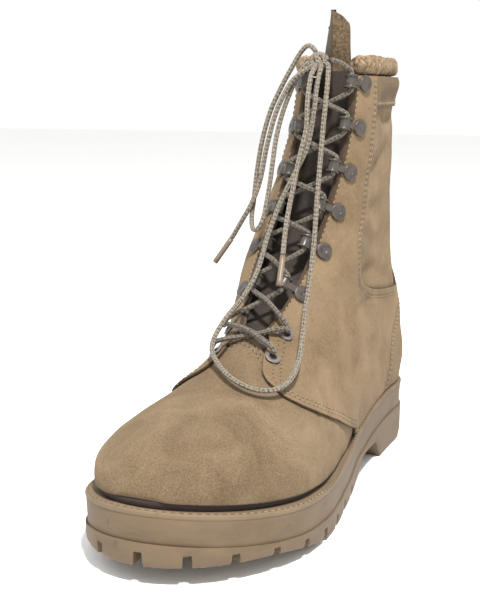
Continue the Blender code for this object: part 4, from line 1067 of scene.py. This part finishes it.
# Collar roll
# Foam roll in rough suede round the top edge, stitched down on its band. It stops at the throat,
# where its ends are rounded off, and it is lumpy where the cover is gathered.
ROLL_HEIGHT = 0.0118
ROLL_THICK = 0.0098
ROLL_SIDES = 30
ROLL_STEPS = 210
start = float(throat_half(1.0)) + 0.0035
outer_run, inner_run = float(side_run(1.0, 1)), float(side_run(1.0, -1))
path = [start + (outer_run - start) * k / ROLL_STEPS for k in range(ROLL_STEPS + 1)]
path += [-(inner_run - (inner_run - start) * k / ROLL_STEPS) for k in range(1, ROLL_STEPS + 1)]
centres, outward = on_last(np.ones(len(path)), np.array(path))
outward[:, 2] = 0.0
outward /= np.linalg.norm(outward, axis=1, keepdims=True)
centres = centres - outward * (0.0006 + WALL / 2)
centres[:, 2] = SHAFT_HEIGHT + GAP + ROLL_HEIGHT / 2 + 0.0004
points = []
for k, (centre, out) in enumerate(zip(centres, outward)):
    from_end = min(k, len(path) - 1 - k) / 5.0
    end = float(round_end(from_end + 0.12))
    for n in range(ROLL_SIDES):
        angle = 2.0 * math.pi * n / ROLL_SIDES
        spot = Vector(centre) + Vector(out) * (math.cos(angle) * ROLL_THICK / 2)
        spot.z += math.sin(angle) * ROLL_HEIGHT / 2
        bulge = noise.noise(spot / 0.0085) + 0.45 * noise.noise(spot / 0.0034) + 0.25 * noise.noise(spot / 0.0017)
        swell = (0.985 + 0.16 * bulge) * end
        spot = Vector(centre) + (spot - Vector(centre)) * swell
        points.append(spot)
faces = [tuple(range(ROLL_SIDES)), tuple(range(len(points) - 1, len(points) - ROLL_SIDES - 1, -1))]
faces += between_rows(len(path), ROLL_SIDES)
mesh = mesh_of("collar_roll_padding", points, faces)
work = bmesh.new()
work.from_mesh(mesh)
bmesh.ops.recalc_face_normals(work, faces=work.faces[:])
rough_suede = hide_finish(
    "rough_suede", (0.024, 0.015, 0.009), (0.155, 0.106, 0.062), (0.350, 0.252, 0.158), 0.98, 430.0, 0.76, 0.10, 1.0)
roll = place("collar_roll_padding", to_mesh(work, mesh), (rough_suede,), "suede", "collar_roll")
for word, k in (("lateral", 0), ("medial", -1)):
    centre, out = Vector(centres[k]), Vector(outward[k])
    beyond = (centre - Vector(centres[1 if k == 0 else -2])).normalized() * 0.0002
    curl = []
    for n in range(70):
        reach = (ROLL_THICK / 2 - 0.0016) * (1.0 - n / 84)
        angle = -1.2 + n * 0.19
        rise = math.sin(angle) * reach * ROLL_HEIGHT / ROLL_THICK
        curl.append(centre + beyond + out * (math.cos(angle) * reach) + Vector((0.0, 0.0, rise)))
    lace_tube(f"collar_curl_{word}", curl, 0.0026, rough_suede, "suede")


# Tongue
# Bellows tongue of the same hide: smooth inside the throat, where its colour is painted darker as the throat's shade,
# and rough side out where it folds above the collar.
TONGUE_TIP = 0.2945
TONGUE_HALF = 0.030
TONGUE_THICK = 0.0032
TONGUE_CREASE = 0.58
TONGUE_MIDDLE = 0.0200
SHARES = (-1.0, -0.66, -0.33, 0.0, 0.30, 0.52, 0.64, 0.84, 1.0)


def surface(v, d, lift):
    """Point of the bare last at a lift."""
    spot, normal = on_last([v], [d])
    return Vector(spot[0]) + Vector(normal[0]) * lift


def tongue_fold(reach_on, rise_on):
    """Section of the tongue above the collar at a share of its width: folded along a crease."""
    away = (reach_on - TONGUE_CREASE) * TONGUE_HALF
    if reach_on < TONGUE_CREASE:
        turn = math.radians(52.0 + 19.0 * rise_on)
        return Vector((math.cos(turn) * away, -math.sin(turn) * away, 0.0))
    return Vector((away, 0.10 * away, 0.0))


def tongue_rows():
    """Cross lines of the tongue, from inside the vamp to its tip above the collar."""
    low, high, inner_rows = THROAT_START - 0.08, 0.90, 10
    lines = []
    for i in range(inner_rows):
        v = low + (high - low) * i / (inner_rows - 1)
        half = TONGUE_HALF * (0.66 + 0.34 * smooth(i / 4.0)) * (1.0 - 0.24 * smooth((v - 0.6) / 0.3))
        line = []
        for share in SHARES:
            away = (0.0022 + 0.0045 * (1.0 - share * share)) * smooth(i / 3.0)
            depth = WALL + 2.0 * GAP + away + 0.006 * smooth((v - 0.65) / 0.25)
            line.append(surface(v, share * half, -depth))
        lines.append(line)
    base = lines[-1]
    middle = sum(base, Vector()) / len(base)
    for i in range(1, 9):
        t = i / 8
        mix = float(smooth(t / 0.30))
        crease = Vector((TONGUE_MIDDLE - 0.003 * t, HEEL_REST - 0.378 * SOLE_LENGTH, 0.0))
        line = []
        for share, spot in zip(SHARES, base):
            narrow = 1.0 - 0.16 * t - (0.10 if i == 8 else 0.0)
            folded = crease + tongue_fold(share, t) * narrow
            corner = 0.007 * abs(share) ** 4 if i == 8 else 0.0
            flat = spot.lerp(folded, mix)
            height = spot.z + (TONGUE_TIP - middle.z) * t + (middle.z - spot.z) * mix - corner
            line.append(Vector((flat.x, flat.y, height)))
        lines.append(line)
    return lines


def finer(table, steps):
    """Smooth in-between rows of a table of points."""
    table = np.asarray(table, float)
    padded = np.concatenate([2 * table[:1] - table[1:2], table, 2 * table[-1:] - table[-2:-1]])
    made = [between(*padded[i:i + 4], k / steps) for i in range(len(padded) - 3) for k in range(steps)]
    return np.array(made + [table[-1]])


table = finer(tongue_rows(), 6)
table = finer(table.transpose(1, 0, 2), 7).transpose(1, 0, 2)
tall, wide = table.shape[:2]
points = []
for i in range(tall):
    for j in range(wide):
        spot = Vector(table[i, j])
        wave = noise.noise(Vector((spot.x * 40, spot.z * 55, 3.0))) * 0.0007
        points.append(spot + Vector((0.0, wave, 0.0)))
tongue_skin = hide_finish(
    "tongue_skin", (0.040, 0.029, 0.019), (0.060, 0.044, 0.029), (0.082, 0.061, 0.041), 0.72, 500.0, 0.35, 0.08, 0.3)
tongue_throat_shade = hide_finish(
    "tongue_throat_shade", (0.020, 0.015, 0.012), (0.032, 0.025, 0.020), (0.046, 0.036, 0.028), 0.80, 500.0, 0.35, 0.05, 0.3)
tongue_rough = hide_finish(
    "tongue_rough", (0.026, 0.016, 0.009), (0.080, 0.054, 0.031), (0.150, 0.106, 0.064), 0.98, 560.0, 0.66, 0.10, 1.0)
mesh = mesh_of("tongue_leather", points, between_rows(tall, wide, closed=False))
crease_column = 7 * (SHARES.index(0.52) + 0.6)
# Below the collar the tongue takes the darker finish: painted shade of the throat.
for face in mesh.polygons:
    j = face.index % (wide - 1)
    if face.center.z < SHAFT_HEIGHT + 0.003:
        face.material_index = 4
    elif j < crease_column:
        face.material_index = 3
looks = (tongue_rough, lining, cut_edge, tongue_skin, tongue_throat_shade)
walled(place("tongue_leather", mesh, looks, "suede", "tongue"), TONGUE_THICK).material_offset = 0


# Insole
# Dark felted footbed on the sole inside the boot.
felt = hide_finish(
    "footbed_felt", (0.012, 0.011, 0.010), (0.024, 0.022, 0.019), (0.042, 0.037, 0.033), 0.98, 1400.0, 0.8, 0.3, 0.9)
softened("insole", "footbed", felt, 0.0012, "insole")


# Eyelets and lace loops
# Two pairs of plain ringed eyelets at the foot of the facing, and above them six pairs of closed lace loops:
# a flanged tube at the throat's edge on a strap, riveted under a flat round stud. All are metal, painted tan.
SPOOL_LENGTH = 0.0078
SPOOL_RADIUS = 0.0042
BARREL_RADIUS = 0.0031
BORE_RADIUS = 0.0023
STUD_RADIUS = 0.0055
STUD_THICK = 0.0014
STUD_TO_SPOOL = 0.0128
STUD_BACK = 0.0082
SPOOL_DROP = 0.0010
EYELET_RADIUS = 0.0046
EYELET_BORE = 0.0025
EYELET_THICK = 0.0009
EYELET_OUT = 0.0290
LOOP_HEIGHTS = (0.488, 0.584, 0.676, 0.771, 0.876, 0.981)
EYELET_HEIGHTS = (0.366, 0.407)


def painted_finish(name, dark, light, chip, rough):
    """Satin paint on metal, thinly worn to the metal in small spots."""
    look, add, shade = finish_of(name, rough)
    cloud = add("TexNoise", Scale=260.0, Detail=4.0, Vector=add("TexCoord").outputs["Object"])
    shade(
        Base_Color=ramp(add, cloud, (0.32, dark), (0.55, light), (0.72, light), (0.76, chip)),
        Normal=add("Bump", Strength=0.15, Distance=0.0002, Height=cloud))
    return look


paint = painted_finish("loop_paint", (0.028, 0.022, 0.017), (0.052, 0.042, 0.033), (0.110, 0.092, 0.072), 0.36)
ring_paint = painted_finish("eyelet_paint", (0.085, 0.070, 0.066), (0.135, 0.114, 0.108), (0.19, 0.165, 0.155), 0.36)


def row_at(distance, height):
    """Row where the last reaches a height, at a distance round from the front middle."""
    low, high = 0.2, 1.0
    for _ in range(30):
        v = (low + high) / 2
        if on_last([v], [distance(v)])[0][0][2] < height:
            low = v
        else:
            high = v
    return v


def facing_place(height, side, distance, lift):
    """Matrix on a facing at a height, with X to the throat, Y up the facing and Z outwards."""
    v = row_at(lambda v: side * distance(v), height)
    spot, normal = on_last([v], [side * distance(v)])
    above = on_last([min(v + 0.004, 1.0)], [side * distance(v)])[0][0]
    below = on_last([v - 0.004], [side * distance(v)])[0][0]
    normal = Vector(normal[0])
    up = Vector(above - below)
    up = (up - normal * up.dot(normal)).normalized()
    inward = normal.cross(up) if side > 0 else up.cross(normal)
    turned = Matrix((inward, normal.cross(inward), normal)).transposed()
    return Matrix.Translation(Vector(spot[0]) + normal * lift) @ turned.to_4x4()


def turned_ring(work, profile, turns, matrix, about_y):
    """Ring turned from a closed profile of radius and height."""
    rings = []
    for k in range(turns):
        angle = 2.0 * math.pi * k / turns
        x, y = math.cos(angle), math.sin(angle)
        ring = [(r * x, h, r * y) if about_y else (r * x, r * y, h) for r, h in profile]
        rings.append([work.verts.new(matrix @ Vector(p)) for p in ring])
    for k in range(turns):
        a, b = rings[k], rings[(k + 1) % turns]
        for n in range(len(profile)):
            m = (n + 1) % len(profile)
            work.faces.new((a[n], a[m], b[m], b[n]))


def rounded(corners, cut=0.3):
    """Closed profile with its corners cut by short steps."""
    made = []
    for i, p in enumerate(corners):
        before, after = Vector(corners[i - 1]), Vector(corners[(i + 1) % len(corners)])
        p = Vector(p)
        reach_back = min(cut * 0.001, (before - p).length * 0.4)
        reach_on = min(cut * 0.001, (after - p).length * 0.4)
        a = p + (before - p).normalized() * reach_back
        b = p + (after - p).normalized() * reach_on
        made += [tuple(a), tuple((a + b + p * 2.0) / 4.0), tuple(b)]
    return made


half = SPOOL_LENGTH / 2
FLANGE = 0.0011
SPOOL = rounded((
    (BORE_RADIUS, half), (SPOOL_RADIUS, half), (SPOOL_RADIUS, half - FLANGE),
    (BARREL_RADIUS, half - FLANGE), (BARREL_RADIUS, FLANGE - half),
    (SPOOL_RADIUS, FLANGE - half), (SPOOL_RADIUS, -half), (BORE_RADIUS, -half)))
STUD = rounded((
    (0.0002, 0.0), (STUD_RADIUS, 0.0), (STUD_RADIUS * 0.90, STUD_THICK), (0.0016, STUD_THICK),
    (0.0013, STUD_THICK * 0.72), (0.0002, STUD_THICK * 0.72)), 0.4)
LOOP_LIFT = LAYER + LAYER_GAP + 2.0 * GAP
loop_places = []
for number, share in enumerate(LOOP_HEIGHTS, 1):
    pair = {}
    for side, word in ((1, "lateral"), (-1, "medial")):
        matrix = facing_place(share * SHAFT_HEIGHT, side, lambda v: float(throat_half(v)) + STUD_BACK, LOOP_LIFT)
        work = bmesh.new()
        pair[side] = matrix @ Matrix.Translation((STUD_TO_SPOOL, 0.0, -SPOOL_DROP))
        turned_ring(work, SPOOL, 20, pair[side], True)
        turned_ring(work, STUD, 24, matrix, False)
        strap = bmesh.ops.create_cube(work, size=1.0)['verts']
        strap_reach = STUD_TO_SPOOL - BORE_RADIUS * 0.95
        for vert in strap:
            x = (vert.co.x + 0.5) * strap_reach
            vert.co = matrix @ Vector((x, vert.co.y * 0.0040, 0.0002 + (vert.co.z + 0.5) * 0.0008))
        bmesh.ops.recalc_face_normals(work, faces=work.faces[:])
        mesh = to_mesh(work, bpy.data.meshes.new(f"loop_{word}_{number}"))
        mesh.shade_smooth()
        mesh.set_sharp_from_angle(angle=math.radians(50))
        place(mesh.name, mesh, (paint,), "painted_metal", f"lace_loop_{word}_{number}")
    loop_places.append(pair)

RING = rounded((
    (EYELET_RADIUS, EYELET_THICK * 0.6), (EYELET_RADIUS, 0.0),
    (EYELET_BORE, 0.0), (EYELET_BORE, EYELET_THICK)), 0.3)
eyelet_places = []
for number, share in enumerate(EYELET_HEIGHTS, 1):
    pair = {}
    for side, word in ((1, "lateral"), (-1, "medial")):
        pair[side] = facing_place(share * SHAFT_HEIGHT, side, lambda v: EYELET_OUT, LAYER + LAYER_GAP + 3.0 * GAP)
        work = bmesh.new()
        turned_ring(work, RING, 28, pair[side], False)
        # A disc in the bore, in the hole finish: painted shade of the open bore.
        disc = [(math.cos(n * 0.35) * EYELET_BORE, math.sin(n * 0.35) * EYELET_BORE, 0.0003) for n in range(18)]
        work.faces.new([work.verts.new(pair[side] @ Vector(p)) for p in disc]).material_index = 1
        bmesh.ops.recalc_face_normals(work, faces=work.faces[:])
        mesh = to_mesh(work, bpy.data.meshes.new(f"ring_{word}_{number}"))
        mesh.shade_smooth()
        place(mesh.name, mesh, (ring_paint, hole_shade), "eyelet_ring", f"eyelet_{word}_{number}")
    eyelet_places.append(pair)


# Laced part of the lace
# The same cord runs from the bottom eyelets, crosses between the loops and climbs through each tube to the knot.
def way_up(matrix):
    """1 where the matrix's Y points up, -1 where it points down."""
    return 1.0 if (matrix.to_3x3() @ Vector((0, 1, 0))).z > 0 else -1.0


def loop_stops(matrix):
    """Points of the lace through a loop's tube, from below to above."""
    out, near = SPOOL_LENGTH / 2 + LACE * 0.75, SPOOL_LENGTH * 0.3
    return [matrix @ Vector((0.0, way_up(matrix) * y, 0.0)) for y in (-out, -near, near, out)]


def eyelet_stops(matrix, first):
    """Points of the lace over an eyelet, from the throat side and back to it."""
    height = LACE / 2 + EYELET_THICK + 0.0010
    spots = [(0.0045, -0.003, height + 0.0008), (0.0, 0.0, height), (0.0045, 0.003, height + 0.0008)]
    return [matrix @ Vector((x, way_up(matrix) * y, z)) for x, y, z in (spots[1:] if first else spots)]


# The laced run is the same braid at a lower tone: painted shade of the throat that it runs through.
throat_shade_braid = braid_finish("throat_shade_braid", 0.62)
for word, first in (("a", 1), ("b", -1)):
    side = first
    stops = []
    for number, pair in enumerate(eyelet_places):
        stops.append(eyelet_stops(pair[side], number == 0))
        side = -side
    for pair in loop_places:
        stops.append(loop_stops(pair[side]))
        side = -side
    route = list(stops[0])
    for number, spots in enumerate(stops[1:]):
        here, there = route[-1], spots[0]
        v = row_at(throat_half, (here.z + there.z) / 2)
        normal = Vector(on_last([v], [0.0001])[1][0])
        over = 0.0044 if (number + (first > 0)) % 2 else -0.0006
        route.append((here + there) / 2 + normal * over)
        route += spots
    towards = -side * Vector((KNOT_SIZE[0] / 2 + LACE / 2.0, 0.0, 0.0))
    route.append((route[-1] + KNOT + towards) / 2 + Vector((0.0, 0.0, 0.0016)))
    route.append(KNOT + towards + Vector((0.0, 0.0, 0.0004)))
    line = smooth_route(route, LACE_STEP)
    lace_tube(f"lace_run_{word}", line, LACE, throat_shade_braid, "lace", f"lace_crossings_{word}")
